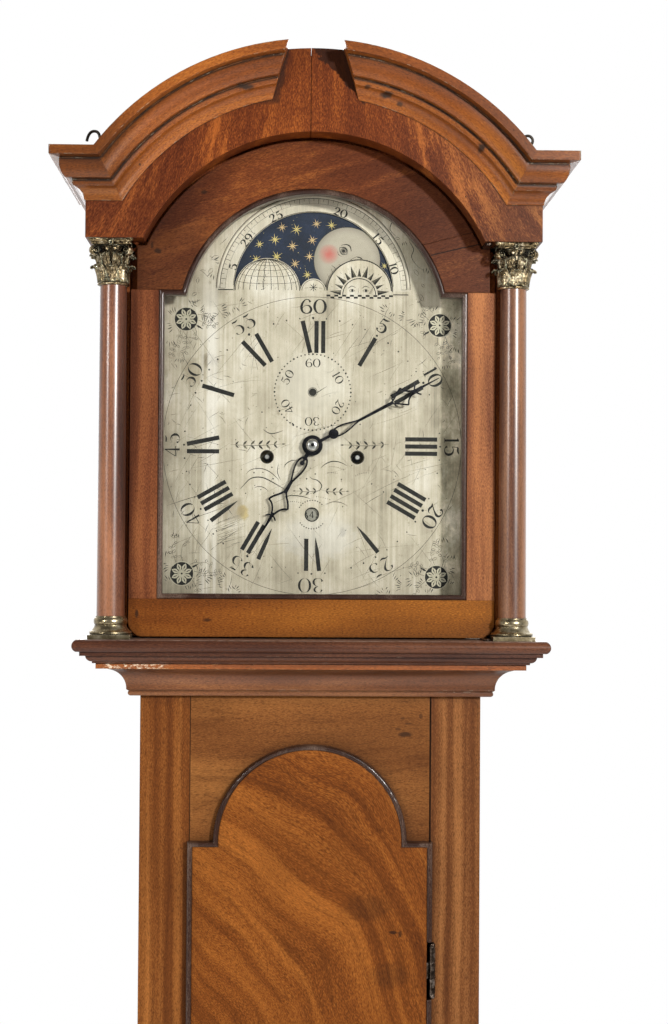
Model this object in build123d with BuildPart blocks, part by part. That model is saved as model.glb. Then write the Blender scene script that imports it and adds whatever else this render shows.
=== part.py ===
from build123d import *
import math
import os

os.makedirs("parts", exist_ok=True)

# ---------------------------------------------------------------- driving sizes (mm)
# frame: X right, -Y front, +Z up, origin under the middle of the footprint
Y_BACK = 128.0          # rear face of the backboard
BOARD_BACK = 16.0       # backboard thickness
YB0 = Y_BACK - BOARD_BACK

# hood
ZA = 1913.0             # common centre height of the arches
W_FASC, Y_FASC = 222.5, -96.0
FASC_T = 28.0
CORN_P, CORN_H = 32.0, 47.3
Z_CORN = 2074.3         # top of the level part of the cornice
R_CT = 266.2            # top of the arched part of the cornice
Z_RF0, Z_RF1 = 2066.0, 2073.3   # level part of the roof board
R_RF, R_RFI = 265.6, 257.0      # its arched part, outside and inside
R_SOFFIT = 184.0
Z_FASC0 = 1991.5        # underside of the fascia = top of the capitals
GAP_TOP, GAP_BOT = 26.3, 42.0
HOOD_T = 14.5
HS_X = 195.5             # inner face of the hood sides
Z_HB0, Z_HB1 = 1578.5, 1602.0   # hood base frame
COL_X, COL_Y, COL_R = 196.7, -73.5, 13.6
# hood door
Y_DOOR, DOOR_T = -66.0, 22.0
DOOR_W = 180.3          # half width at the stiles
DOOR_TW = 174.4         # half width at the shoulders, between the capitals
DOOR_Z0, DOOR_SH = 1603.7, 1988.9
R_DOOR = 182.0
AP_W, AP_Z0, AP_SH, R_AP = 152.6, 1640.8, 1945.5, 134.0
BEAD_W = 5.2
PIV_X, PIV_Y = 170.5, -88.0
# dial
Y_DIAL, DIAL_T = -30.0, 2.5
ZC = 1794.5             # centre of the hands
DIAL_W, DIAL_Z0, DIAL_SH, R_DIAL = 152.4, 1638.0, 1950.0, 137.5
Z_MOON = ZC + 155.8
Z_SEC = ZC + 54.0
Z_DATE = ZC - 69.3
WIND_X, WIND_Z = 45.5, ZC - 11.5
# trunk
W_TR, Y_TR, TR_T = 169.5, -42.5, 20.0
SIDE_T = 18.0
JOINT_X = 119.7
Z_TR0, Z_TR1 = 500.0, 1581.0
TD_W, TD_Z0, TD_SH, R_TD = 121.5, 600.0, 1400.0, 96.0
TD_LIP = 8.0
TB_W = 5.0
HX, HY = 122.3, Y_TR - 5.0     # trunk hinge axis
HINGE_Z = (1273.0, 727.0)
HINGE_L = 46.0
# base
W_BA, Y_BA, BA_T = 215.0, -88.0, 20.0
Z_BA1 = 500.0
# movement
PL_F0, PL_F1 = 0.0, 3.0        # front plate
PL_B0, PL_B1 = 63.0, 66.0      # back plate
PL_W, PL_Z0, PL_Z1 = 74.0, 1715.0, 1896.0
Y_PEND = 80.0
Z_PIV = ZC + 88.0              # pallet arbor and pendulum pivot
WT_X, WT_Y, WT_R, WT_H = 49.1, 29.0, 30.0, 150.0
Z_GO, Z_ST = 1285.0, 1240.0    # middles of the weights
RUN = 0.05                     # running clearance of pivots


# ---------------------------------------------------------------- helpers
def at_y(y):
    """sketch plane facing the front at depth y: local x = X, local y = Z"""
    return Plane.XZ.offset(-y)


def block(x0, x1, y0, y1, z0, z1, mode=Mode.ADD):
    with Locations(((x0 + x1) / 2, (y0 + y1) / 2, (z0 + z1) / 2)):
        Box(x1 - x0, y1 - y0, z1 - z0, mode=mode)


def rod_y(x, z, r, y0, y1, mode=Mode.ADD):
    with BuildSketch(at_y(y1)) as sk:
        with Locations((x, z)):
            Circle(r)
    extrude(sk.sketch, amount=y1 - y0, mode=mode)


def rod_z(x, y, r, z0, z1, mode=Mode.ADD):
    with BuildSketch(Plane.XY.offset(z0)) as sk:
        with Locations((x, y)):
            Circle(r)
    extrude(sk.sketch, amount=z1 - z0, mode=mode)


def poly_y(pts, y0, y1, mode=Mode.ADD):
    with BuildSketch(at_y(y1)) as sk:
        with BuildLine():
            Polyline(*pts, close=True)
        make_face()
    extrude(sk.sketch, amount=y1 - y0, mode=mode)


def draw(start, segs, tr=lambda p: p):
    """closed outline inside a BuildLine; L = line, A = arc through a point"""
    p = start
    for s in segs:
        if s[0] == "L":
            Line(tr(p), tr(s[1]))
            p = s[1]
        else:
            ThreePointArc(tr(p), tr(s[1]), tr(s[2]))
            p = s[2]
    if p != start:
        Line(tr(p), tr(start))


def save(name, *shapes):
    if len(shapes) == 1:
        out = shapes[0]
        out.label = name
    else:
        out = Compound(label=name, children=list(shapes))
    export_step(out, f"parts/{name}.step")


def flip(shape):
    return mirror(shape, about=Plane.YZ)


def corner(x, y):
    """upright mitre plane at a front corner; its top side is the front piece"""
    return Plane(origin=(x, y, 0), x_dir=(0, 0, 1), z_dir=(-1 if x > 0 else 1, -1, 0))


def moulding(w, yf, yb, start, segs):
    """front, right and left lengths of a moulding, mitred; profile is (projection, z)"""
    with BuildPart() as front:
        with BuildSketch(Plane.YZ.offset(-(w + 90))):
            with BuildLine():
                draw(start, segs, lambda p: (yf - p[0], p[1]))
            make_face()
        extrude(amount=2 * (w + 90))
        split(bisect_by=corner(-w, yf), keep=Keep.TOP)
        split(bisect_by=corner(w, yf), keep=Keep.TOP)
    with BuildPart() as side:
        with BuildSketch(at_y(yb)):
            with BuildLine():
                draw(start, segs, lambda p: (w + p[0], p[1]))
            make_face()
        extrude(amount=yb - yf + 90)
        split(bisect_by=corner(w, yf), keep=Keep.BOTTOM)
    return front.part, side.part, flip(side.part)


def gear_pts(cx, cz, n, m, ang, pinion=False, gap=False):
    """toothed outline; a tooth (or a gap) stands at angle ang (degrees, X towards Z)"""
    r = n * m / 2
    pitch = 2 * math.pi / n
    if pinion:
        rings = ((r - 1.45 * m, 0.150), (r, 0.135), (r + 0.45 * m, 0.100), (r + 0.75 * m, 0.035))
    else:
        rings = ((r - 1.35 * m, 0.195), (r, 0.165), (r + 0.55 * m, 0.110), (r + 0.95 * m, 0.035))
    a0 = math.radians(ang) + (pitch / 2 if gap else 0)
    pts = []
    for k in range(n):
        a = a0 + k * pitch
        for rr, f in rings:
            pts.append((rr, a - f * pitch))
        for rr, f in reversed(rings):
            pts.append((rr, a + f * pitch))
    return [(cx + rr * math.cos(a), cz + rr * math.sin(a)) for rr, a in pts]


def crossings(cx, cz, r0, r1, arms, w, y0, y1, turn=0.0):
    """openings between the arms of a wheel"""
    for k in range(arms):
        mid = math.radians(turn) + (k + 0.5) * 2 * math.pi / arms
        pts = []
        for rr, order in ((r1, 1), (r0, -1)):
            h = math.pi / arms - math.asin(w / 2 / rr)
            steps = [mid - h + 2 * h * i / 10 for i in range(11)]
            for a in (steps if order > 0 else reversed(steps)):
                pts.append((cx + rr * math.cos(a), cz + rr * math.sin(a)))
        poly_y(pts, y0, y1, mode=Mode.SUBTRACT)


def gear(cx, cz, n, m, ang, y0, y1, pinion=False, gap=False):
    poly_y(gear_pts(cx, cz, n, m, ang, pinion, gap), y0, y1)


def arbor(cx, cz, r, rp, y0=PL_F1 + 0.3, y1=PL_B0 - 0.3):
    """arbor between the plates with a pivot in each plate"""
    rod_y(cx, cz, r, y0, y1)
    rod_y(cx, cz, rp, PL_F0 + 0.2, y0)
    rod_y(cx, cz, rp, y1, PL_B1 - 0.2)


def angle(ax, az, bx, bz):
    return math.degrees(math.atan2(bz - az, bx - ax))


# ---------------------------------------------------------------- base and plinth
sk_prof = (0, 0), [("L", (16, 0)), ("L", (16, 44)), ("A", (13.8, 50.4), (10, 54)), ("L", (8.5, 54)),
                   ("L", (8.5, 92)), ("A", (6.6, 98.8), (2, 102)), ("L", (2, 104)), ("L", (0, 104))]
pf, pr, pl = moulding(W_BA, Y_BA, Y_BACK, *sk_prof)
save("plinth_skirting", pf, pr, pl)

with BuildPart() as base_front:
    block(-W_BA, W_BA, Y_BA, Y_BA + BA_T, 0, Z_BA1)
save("base_front", base_front.part)

with BuildPart() as base_panel:
    block(-150, 150, Y_BA - 7, Y_BA, 150, 454)
    chamfer(base_panel.faces().sort_by(Axis.Y)[0].edges(), 5.0)
save("base_panel", base_panel.part)

with BuildPart() as base_side:
    block(W_BA - SIDE_T, W_BA, Y_BA + BA_T, YB0, 0, Z_BA1)
save("base_sides", base_side.part, flip(base_side.part))

DB = W_BA - W_TR
bm_prof = (0, 500), [("L", (DB + 3, 500)), ("A", (DB + 5.5, 503.5), (DB + 3, 507)), ("L", (DB - 2, 507)),
                     ("L", (DB - 2, 510)), ("A", (DB - 26, 518), (11, 541)), ("L", (11, 543)),
                     ("A", (9.8, 547), (6, 548.5)), ("L", (0, 548.5))]
mf, mr, ml = moulding(W_TR, Y_TR, Y_BACK, *bm_prof)
save("base_moulding", mf, mr, ml)

# ---------------------------------------------------------------- backboard
# one long board, widened with glued-on strips behind the base and inside the hood
with BuildSketch(at_y(Y_BACK)) as hood_back:
    with BuildLine() as hood_back_line:
        draw((-194, 1603.5), [("L", (194, 1603.5)), ("L", (194, 2050)), ("L", (191, 2066)),
                              ("A", (0, ZA + 251), (-191, 2066)), ("L", (-194, 2050))])
    make_face()
with BuildPart() as backboard:
    extrude(hood_back.sketch, amount=BOARD_BACK)
    block(-W_TR, W_TR, YB0 - 1, Y_BACK + 1, 1500, 2200, mode=Mode.INTERSECT)
    block(-W_TR, W_TR, YB0, Y_BACK, 0, 1700)
    rod_y(0, 1660, 3.0, YB0 - 1, Y_BACK + 1, mode=Mode.SUBTRACT)
with BuildPart() as back_strip_hood:
    extrude(hood_back.sketch, amount=BOARD_BACK)
    block(W_TR, 300, YB0 - 1, Y_BACK + 1, 1500, 2200, mode=Mode.INTERSECT)
with BuildPart() as back_strip_base:
    block(W_TR, W_BA, YB0, Y_BACK, 0, Z_BA1)
save("backboard", backboard.part, back_strip_hood.part, flip(back_strip_hood.part),
     back_strip_base.part, flip(back_strip_base.part))

# ---------------------------------------------------------------- trunk
with BuildPart() as trunk_side:
    block(W_TR - SIDE_T, W_TR, Y_TR + TR_T, YB0, 440, 1693)
save("trunk_sides", trunk_side.part, flip(trunk_side.part))

with BuildPart() as trunk_stile:
    block(JOINT_X, W_TR, Y_TR, Y_TR + TR_T, Z_TR0, Z_TR1)
save("trunk_stiles", trunk_stile.part, flip(trunk_stile.part))

with BuildPart() as trunk_top:
    block(-JOINT_X + 0.2, JOINT_X - 0.7, Y_TR, Y_TR + TR_T, 1398.6, Z_TR1)
    with BuildSketch(at_y(Y_TR + TR_T)):
        with Locations((0, TD_SH)):
            Circle(93.6)
    extrude(amount=TR_T, mode=Mode.SUBTRACT)
with BuildPart() as trunk_bottom:
    block(-JOINT_X + 0.2, JOINT_X - 0.2, Y_TR, Y_TR + TR_T, Z_TR0, 602.6)
save("trunk_rails", trunk_top.part, trunk_bottom.part)

tm_prof = (0, 1544.5), [("L", (8.5, 1544.5)), ("A", (11.4, 1546.6), (10.7, 1549.5)), ("L", (13.0, 1551)),
                        ("A", (16.2, 1563), (28.0, 1571.6)), ("L", (30.0, 1572.3)), ("L", (30.0, 1573.0)),
                        ("L", (40.5, 1573.0)), ("L", (40.5, 1578)), ("L", (0, 1578))]
tf, trr, tl = moulding(W_TR, Y_TR, Y_BACK, *tm_prof)
save("throat_moulding", tf, trr, tl)

with BuildPart() as seatboard:
    block(-166, 166, -18, 72, 1693, PL_Z0)
    for s in (-1, 1):
        rod_z(s * (WT_X + 20.6), WT_Y, 5, 1690, 1720, mode=Mode.SUBTRACT)
        rod_z(s * (WT_X - 20.6), WT_Y, 2, 1690, 1720, mode=Mode.SUBTRACT)
save("seatboard", seatboard.part)

# ---------------------------------------------------------------- trunk door
def td_face(inset, zs):
    """outline of the trunk door, arched between two shoulders"""
    w, z0, r = TD_W - inset, TD_Z0 + inset, R_TD - inset
    a = math.asin((zs - TD_SH) / r) if zs != TD_SH else 0.0
    x = r * math.cos(a)
    with BuildLine() as ln:
        draw((-w, z0), [("L", (w, z0)), ("L", (w, zs)), ("L", (x, zs)),
                        ("A", (0, TD_SH + r), (-x, zs)), ("L", (-w, zs))])
    make_face(ln.edges())


with BuildPart() as trunk_door_panel:
    with BuildSketch(at_y(Y_TR)):
        td_face(TB_W, TD_SH - TB_W)
    extrude(amount=TD_LIP - 1.0)
    with BuildSketch(at_y(Y_TR + 18)):
        td_face(4.0, TD_SH - 3.6)
    extrude(amount=18)
    for hz in HINGE_Z:
        block(116.6, 130, Y_TR - 20, Y_TR, hz - HINGE_L / 2 - 2, hz + HINGE_L / 2 + 2, mode=Mode.SUBTRACT)
    rod_y(-104, 1012, 1.6, Y_TR - 20, Y_TR + 30, mode=Mode.SUBTRACT)
    block(-104.9, -103.1, Y_TR - 20, Y_TR + 30, 1004, 1012, mode=Mode.SUBTRACT)
save("trunk_door_panel", trunk_door_panel.part)

with BuildPart() as trunk_door_bead:
    with BuildSketch(at_y(Y_TR)):
        td_face(0.0, TD_SH)
        with BuildSketch(mode=Mode.PRIVATE) as td_in:
            td_face(TB_W, TD_SH - TB_W)
        add(td_in.sketch, mode=Mode.SUBTRACT)
    extrude(amount=TD_LIP + 1.2)
    fillet(trunk_door_bead.faces().sort_by(Axis.Y)[0].edges(), 2.1)
    for hz in HINGE_Z:
        block(110, 130, Y_TR - 20, Y_TR + 1, hz - HINGE_L / 2 - 5.5, hz + HINGE_L / 2 + 5.5, mode=Mode.SUBTRACT)
save("trunk_door_bead", *trunk_door_bead.part.solids())

frame_leaves, door_leaves = [], []
for hz in HINGE_Z:
    z0, z1 = hz - HINGE_L / 2, hz + HINGE_L / 2
    za, zb = z0 + 15.0, z1 - 15.0
    with BuildPart() as leaf_f:
        rod_z(HX, HY, 3.0, z0, za - 0.2)
        rod_z(HX, HY, 3.0, zb + 0.2, z1)
        rod_z(HX, HY, 1.4, z0, z1)
        with Locations((HX, HY, z0 - 2.2), (HX, HY, z1 + 2.2)):
            Sphere(2.9)
        block(HX - 1.6, HX + 2.2, HY, Y_TR, z0, za - 0.2)
        block(HX - 1.6, HX + 2.2, HY, Y_TR, zb + 0.2, z1)
    frame_leaves.append(leaf_f.part)
    with BuildPart() as leaf_d:
        rod_z(HX, HY, 3.0, za + 0.2, zb - 0.2)
        block(117.0, HX, Y_TR - 2.6, Y_TR - 1.2, za + 0.2, zb - 0.2)
        block(HX - 3.0, HX, HY, Y_TR - 1.2, za + 0.2, zb - 0.2)
        rod_z(HX, HY, 1.45, z0, z1, mode=Mode.SUBTRACT)
        block(116.6, 117.8, Y_TR - 6.5, Y_TR - 1.2, za + 0.2, zb - 0.2)
    door_leaves.append(leaf_d.part)
save("trunk_hinge_frame", *frame_leaves)
save("trunk_hinge_door", *door_leaves)

LK = Y_TR + 18           # inner face of the door
with BuildPart() as lock_case:
    block(-116, -82, LK, LK + 11, 980, 1040)
    block(-117, -93, LK + 3.7, LK + 8.3, 1009.5, 1020.5, mode=Mode.SUBTRACT)
with BuildPart() as escutcheon:
    with BuildSketch(at_y(Y_TR - TD_LIP + 1.0)):
        with Locations((-104, 1010)):
            Ellipse(9, 15)
        with Locations((-104, 1025.5), (-104, 994.5)):
            Circle(3.2)
        with Locations((-104, 1012)):
            Circle(1.6, mode=Mode.SUBTRACT)
        with Locations((-104, 1008)):
            Rectangle(1.8, 8, mode=Mode.SUBTRACT)
    extrude(amount=1.2)
save("trunk_lock", lock_case.part, escutcheon.part)

with BuildPart() as lock_bolt:
    block(-115.6, -95, LK + 4, LK + 8, 1009.8, 1020.2)
save("trunk_lock_bolt", lock_bolt.part)

# ---------------------------------------------------------------- hood case
with BuildPart() as hood_side:
    with BuildSketch(Plane.YZ.offset(HS_X)):
        with BuildLine():
            Polyline((-52.4, Z_HB1), (Y_BACK, Z_HB1), (Y_BACK, Z_RF0), (Y_FASC + FASC_T, Z_RF0),
                     (Y_FASC + FASC_T, Z_FASC0), (-52.4, Z_FASC0), close=True)
        make_face()
    extrude(amount=HOOD_T)
with BuildPart() as side_frieze:
    block(HS_X + HOOD_T, W_FASC, Y_FASC + FASC_T, Y_BACK, Z_FASC0, Z_RF0)
save("hood_sides", hood_side.part, flip(hood_side.part), side_frieze.part, flip(side_frieze.part))

with BuildPart() as hood_roof:
    xo = math.sqrt(R_RF ** 2 - (Z_RF1 - ZA) ** 2)
    xi = math.sqrt(R_RFI ** 2 - (Z_RF0 - ZA) ** 2)
    with BuildSketch(at_y(Y_BACK)):
        with BuildLine():
            draw((-W_FASC, Z_RF0), [("L", (-xi, Z_RF0)), ("A", (0, ZA + R_RFI), (xi, Z_RF0)), ("L", (W_FASC, Z_RF0)),
                                    ("L", (W_FASC, Z_RF1)), ("L", (xo, Z_RF1)), ("A", (0, ZA + R_RF), (-xo, Z_RF1)),
                                    ("L", (-W_FASC, Z_RF1))])
        make_face()
    extrude(amount=Y_BACK - (Y_FASC + FASC_T))
save("hood_roof", hood_roof.part)

XF = math.sqrt(R_SOFFIT ** 2 - (Z_FASC0 - ZA) ** 2)
halves = []
for side in (-1, 1):
    with BuildPart() as fascia:
        xo = math.sqrt(R_RF ** 2 - (Z_RF1 - ZA) ** 2)
        with BuildSketch(at_y(Y_FASC + FASC_T)):
            with BuildLine():
                draw((-W_FASC, Z_FASC0), [("L", (-XF, Z_FASC0)), ("A", (0, ZA + R_SOFFIT), (XF, Z_FASC0)), ("L", (W_FASC, Z_FASC0)),
                                          ("L", (W_FASC, Z_RF1)), ("L", (xo, Z_RF1)), ("A", (0, ZA + R_RF), (-xo, Z_RF1)),
                                          ("L", (-W_FASC, Z_RF1))])
            make_face()
        extrude(amount=FASC_T)
        if side > 0:
            block(-300, -4.2, -150, 0, 1900, 2300, mode=Mode.SUBTRACT)
            rod_z(PIV_X, PIV_Y, 2.0 + RUN, Z_FASC0 - 1, Z_FASC0 + 10, mode=Mode.SUBTRACT)
        else:
            block(-4.7, 300, -150, 0, 1900, 2300, mode=Mode.SUBTRACT)
    halves.append(fascia.part)
save("hood_fascia", *halves)

cp = [(0, 0), (32, 0), (32, 8.2), (22.8, 9.6), (18, 26.0), (11.6, 26.6), (10.4, 32.0), (1.4, 42.4), (1.0, 43.5), (0, 43.5)]


def corn_prof(zf):
    """cornice profile as an outline; zf turns a drop below the top into a height"""
    def q(i):
        return (cp[i][0], zf(cp[i][1]))
    return q(0), [("L", q(1)), ("L", q(2)), ("L", q(3)), ("A", (21.9, zf(20.0)), q(4)), ("L", q(5)),
                  ("A", (11.7, zf(29.6)), q(6)), ("A", (4.6, zf(35.2)), q(7)), ("L", q(8)), ("L", q(9))]


CK = CORN_H / 43.5
lv = moulding(W_FASC, Y_FASC, Y_BACK, *corn_prof(lambda h: Z_CORN - h * CK))
R_CB = R_CT - CORN_H
mx0 = math.sqrt(R_CT ** 2 - (Z_CORN - ZA) ** 2)
mx1 = math.sqrt(R_CB ** 2 - (Z_CORN - CORN_H - ZA) ** 2)
mitre = Plane(origin=(mx0, 0, Z_CORN), x_dir=(0, 1, 0), z_dir=(CORN_H, 0, -(mx0 - mx1)))
cut_end = Plane(origin=(GAP_TOP, 0, ZA + R_CT), x_dir=(0, 1, 0), z_dir=(CORN_H + 4, 0, GAP_BOT - GAP_TOP))
with BuildPart() as level_right:
    add(lv[0])
    split(bisect_by=mitre, keep=Keep.TOP)
with BuildPart() as arch_right:
    st, sg = corn_prof(lambda h: ZA + R_CT - h * CK)
    with BuildSketch(Plane.YZ):
        with BuildLine():
            draw(st, sg, lambda p: (Y_FASC - p[0], p[1]))
        make_face()
    revolve(axis=Axis((0, 0, ZA), (0, 1, 0)), revolution_arc=75)
    split(bisect_by=mitre, keep=Keep.BOTTOM)
    split(bisect_by=cut_end, keep=Keep.TOP)
save("hood_cornice", level_right.part, flip(level_right.part), arch_right.part, flip(arch_right.part), lv[1], lv[2])

hb_prof = (-50.5, Z_HB0), [("L", (-9.4, Z_HB0)), ("L", (-9.4, 1580.2)), ("A", (-5.4, 1581.8), (-3.4, 1586.2)),
                           ("L", (1.8, 1586.2)), ("L", (1.8, 1590.2)), ("L", (5.0, 1590.2)),
                           ("A", (8.6, 1596.0), (4.4, 1602.0)), ("L", (-50.5, 1602.0))]
hf, hr, hl = moulding(W_FASC, Y_FASC, Y_BACK, *hb_prof)
with BuildPart() as hb_front:
    add(hf)
    rod_z(PIV_X, PIV_Y, 2.0 + RUN, Z_HB1 - 9, Z_HB1 + 1, mode=Mode.SUBTRACT)
save("hood_base_moulding", hb_front.part, hr, hl)

with BuildPart() as mask:
    with BuildSketch(at_y(-32)):
        with BuildLine():
            draw((-195, 1602.6), [("L", (195, 1602.6)), ("L", (195, 2050)), ("L", (191, 2064)),
                                  ("A", (0, ZA + 249), (-191, 2064)), ("L", (-195, 2050))])
        make_face()
        with Locations((0, (1641 + 1948) / 2)):
            Rectangle(300.4, 307, mode=Mode.SUBTRACT)
        with Locations((0, ZA)):
            Circle(135.6, mode=Mode.SUBTRACT)
    extrude(amount=8)
with BuildPart() as front_stile:
    block(182.4, 195, -52.4, -40, Z_HB1, Z_FASC0 - 0.5)
save("hood_front_frame", mask.part, front_stile.part, flip(front_stile.part))

with BuildPart() as column:
    with BuildSketch(Plane.XZ):
        with BuildLine():
            draw((0, 1624), [("L", (COL_R + 0.2, 1624)), ("L", (COL_R - 0.5, 1947)), ("L", (0, 1947))])
        make_face()
    revolve(axis=Axis.Z)
col_r = Pos(COL_X, COL_Y, 0) * column.part
save("hood_columns", col_r, flip(col_r))

with BuildPart() as col_base:
    with BuildSketch(Plane.XZ):
        with BuildLine():
            draw((0, 1606.2), [("L", (19.6, 1606.2)), ("A", (20.6, 1607.9), (19.4, 1609.6)), ("L", (18.6, 1609.9)),
                               ("A", (16.6, 1612.2), (15.4, 1615.0)), ("L", (15.4, 1615.6)),
                               ("A", (16.4, 1618.8), (15.4, 1622.2)), ("L", (14.6, 1622.6)), ("L", (14.6, 1624)), ("L", (0, 1624))])
        make_face()
    revolve(axis=Axis.Z)
    block(-20.6, 20.6, -20.6, 20.6, Z_HB1, 1606.2)
cb_r = Pos(COL_X, COL_Y, 0) * col_base.part
save("column_bases", cb_r, flip(cb_r))

with BuildPart() as capital:
    with BuildSketch(Plane.XZ):
        with BuildLine():
            draw((0, 1947), [("L", (14.2, 1947)), ("A", (15.4, 1948.6), (14.2, 1950.2)), ("A", (15.0, 1966), (18.6, 1983)),
                             ("L", (18.6, 1985.4)), ("L", (0, 1985.4))])
        make_face()
    revolve(axis=Axis.Z)
    with BuildSketch(Plane.XY.offset(1985.4)):
        with BuildLine():
            a, b = 21.8, 18.2
            draw((-a, -a), [("A", (0, -b), (a, -a)), ("A", (b, 0), (a, a)), ("A", (0, b), (-a, a)), ("A", (-b, 0), (-a, -a))])
        make_face()
    extrude(amount=Z_FASC0 - 1985.4)
cap_r = Pos(COL_X + 1.2, COL_Y, 0) * capital.part
save("column_capitals", cap_r, flip(cap_r))

HKY = -50.0
with BuildPart() as hook:
    with BuildLine() as hk:
        Spline((-213.6, HKY, Z_RF1 + 0.1), (-213.3, HKY, 2087), (-213.7, HKY, 2097), (-216.8, HKY, 2104.5),
               (-222.0, HKY, 2104.5), (-225.6, HKY, 2099.8), (-226.8, HKY, 2095.0), tangents=[(0, 0, 1), (-0.1, 0, -1)])
    with BuildSketch(Plane(origin=hk.line @ 0, z_dir=hk.line % 0)):
        Circle(1.45)
    sweep()
with BuildPart() as eye:
    rod_z(213.6, HKY, 1.45, Z_RF1 + 0.1, 2096.0)
    with BuildSketch(Plane(origin=(213.6 + 5.0, HKY, 2101.0), z_dir=(0, 0, 1), x_dir=(1, 0, 0))):
        Circle(1.4)
    revolve(axis=Axis((213.6, HKY, 2101.0), (0, 1, 0)))
save("hood_hooks", hook.part, eye.part)

# ---------------------------------------------------------------- hood door
with BuildPart() as hd_stile:
    block(AP_W, DOOR_W, Y_DOOR, Y_DOOR + DOOR_T, AP_Z0, AP_SH - 0.15)
save("hood_door_stiles", hd_stile.part, flip(hd_stile.part))

with BuildPart() as hd_bottom:
    cx, cz = DOOR_W - 11.0, DOOR_Z0 + 20.0       # lower corners rounded to clear the column bases
    with BuildSketch(at_y(Y_DOOR + DOOR_T)):
        with BuildLine():
            draw((-cx, DOOR_Z0), [("L", (cx, DOOR_Z0)), ("A", (cx + 7.8, cz - 14.1), (DOOR_W, cz)), ("L", (DOOR_W, AP_Z0)),
                                  ("L", (-DOOR_W, AP_Z0)), ("L", (-DOOR_W, cz)), ("A", (-cx - 7.8, cz - 14.1), (-cx, DOOR_Z0))])
        make_face()
    extrude(amount=DOOR_T)
save("hood_door_bottom_rail", hd_bottom.part)

XD = math.sqrt(R_DOOR ** 2 - (DOOR_SH - ZA) ** 2)
XA = math.sqrt(R_AP ** 2 - (AP_SH - ZA) ** 2)
rail_cut = Plane(origin=(140, 0, 2001), x_dir=(0, 1, 0), z_dir=(math.sin(math.radians(-15)), 0, math.cos(math.radians(15))))
arch_parts = []
for keep, shift in ((Keep.TOP, 0.15), (Keep.BOTTOM, -0.15)):
    with BuildPart() as hd_arch:
        with BuildSketch(at_y(Y_DOOR + DOOR_T)):
            with BuildLine():
                draw((-DOOR_TW, AP_SH), [("L", (-XA, AP_SH)), ("A", (0, ZA + R_AP), (XA, AP_SH)), ("L", (DOOR_TW, AP_SH)),
                                        ("L", (DOOR_TW, DOOR_SH)), ("L", (XD, DOOR_SH)), ("A", (0, ZA + R_DOOR), (-XD, DOOR_SH)),
                                        ("L", (-DOOR_TW, DOOR_SH))])
            make_face()
        extrude(amount=DOOR_T)
        if keep == Keep.TOP:
            block(0, 300, -100, 0, 1900, 2300, mode=Mode.INTERSECT)
        else:
            block(0, 300, -100, 0, 1900, 2300, mode=Mode.INTERSECT)
        split(bisect_by=rail_cut.offset(shift), keep=keep)
    arch_parts.append(hd_arch.part)
with BuildPart() as hd_arch_left:
    with BuildSketch(at_y(Y_DOOR + DOOR_T)):
        with BuildLine():
            draw((-DOOR_TW, AP_SH), [("L", (-XA, AP_SH)), ("A", (-R_AP * math.sin(0.7), ZA + R_AP * math.cos(0.7)), (0, ZA + R_AP)),
                                    ("L", (0, ZA + R_DOOR)), ("A", (-R_DOOR * math.sin(0.6), ZA + R_DOOR * math.cos(0.6)), (-XD, DOOR_SH)),
                                    ("L", (-DOOR_TW, DOOR_SH))])
        make_face()
    extrude(amount=DOOR_T)
    add(arch_parts[0])
save("hood_door_arch_rail", hd_arch_left.part, arch_parts[1])


def ap_face(inset):
    """outline of the glazed opening, drawn in by inset"""
    w, z0, zs, r = AP_W - inset, AP_Z0 + inset, AP_SH - inset, R_AP - inset
    x = math.sqrt(r ** 2 - (zs - ZA) ** 2)
    with BuildLine() as ln:
        draw((-w, z0), [("L", (w, z0)), ("L", (w, zs)), ("L", (x, zs)), ("A", (0, ZA + r), (-x, zs)), ("L", (-w, zs))])
    make_face(ln.edges())


with BuildPart() as hd_bead:
    with BuildSketch(at_y(Y_DOOR + 11)):
        ap_face(0.0)
        with BuildSketch(mode=Mode.PRIVATE) as ap_in:
            ap_face(BEAD_W)
        add(ap_in.sketch, mode=Mode.SUBTRACT)
    extrude(amount=12.4)
    fillet(hd_bead.faces().sort_by(Axis.Y)[0].edges(), 2.2)
save("hood_door_bead", hd_bead.part)

with BuildPart() as hd_glass:
    with BuildSketch(at_y(Y_DOOR + 13.2)):
        ap_face(0.3)
    extrude(amount=2.2)
save("hood_door_glass", hd_glass.part)

piv = []
for zs0, zs1, zp0, zp1, wl in ((1602.6, DOOR_Z0, Z_HB1 - 8, 1602.6, 18.0), (DOOR_SH, 1990.8, 1990.8, Z_FASC0 + 8, 3.5)):
    with BuildPart() as pivot:
        with BuildSketch(Plane.XY.offset(zs0)):
            with BuildLine():
                Polyline((PIV_X - 3.4, PIV_Y), (PIV_X + 3.4, PIV_Y), (PIV_X + 3.4, Y_DOOR + 17), (PIV_X - wl, Y_DOOR + 17),
                         (PIV_X - wl, Y_DOOR + 1), (PIV_X - 3.4, Y_DOOR + 1), close=True)
            make_face()
            with Locations((PIV_X, PIV_Y)):
                Circle(3.4)
        extrude(amount=zs1 - zs0)
        rod_z(PIV_X, PIV_Y, 2.0, zp0, zp1)
    piv.append(pivot.part)
save("hood_door_pivots", *piv)

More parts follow.
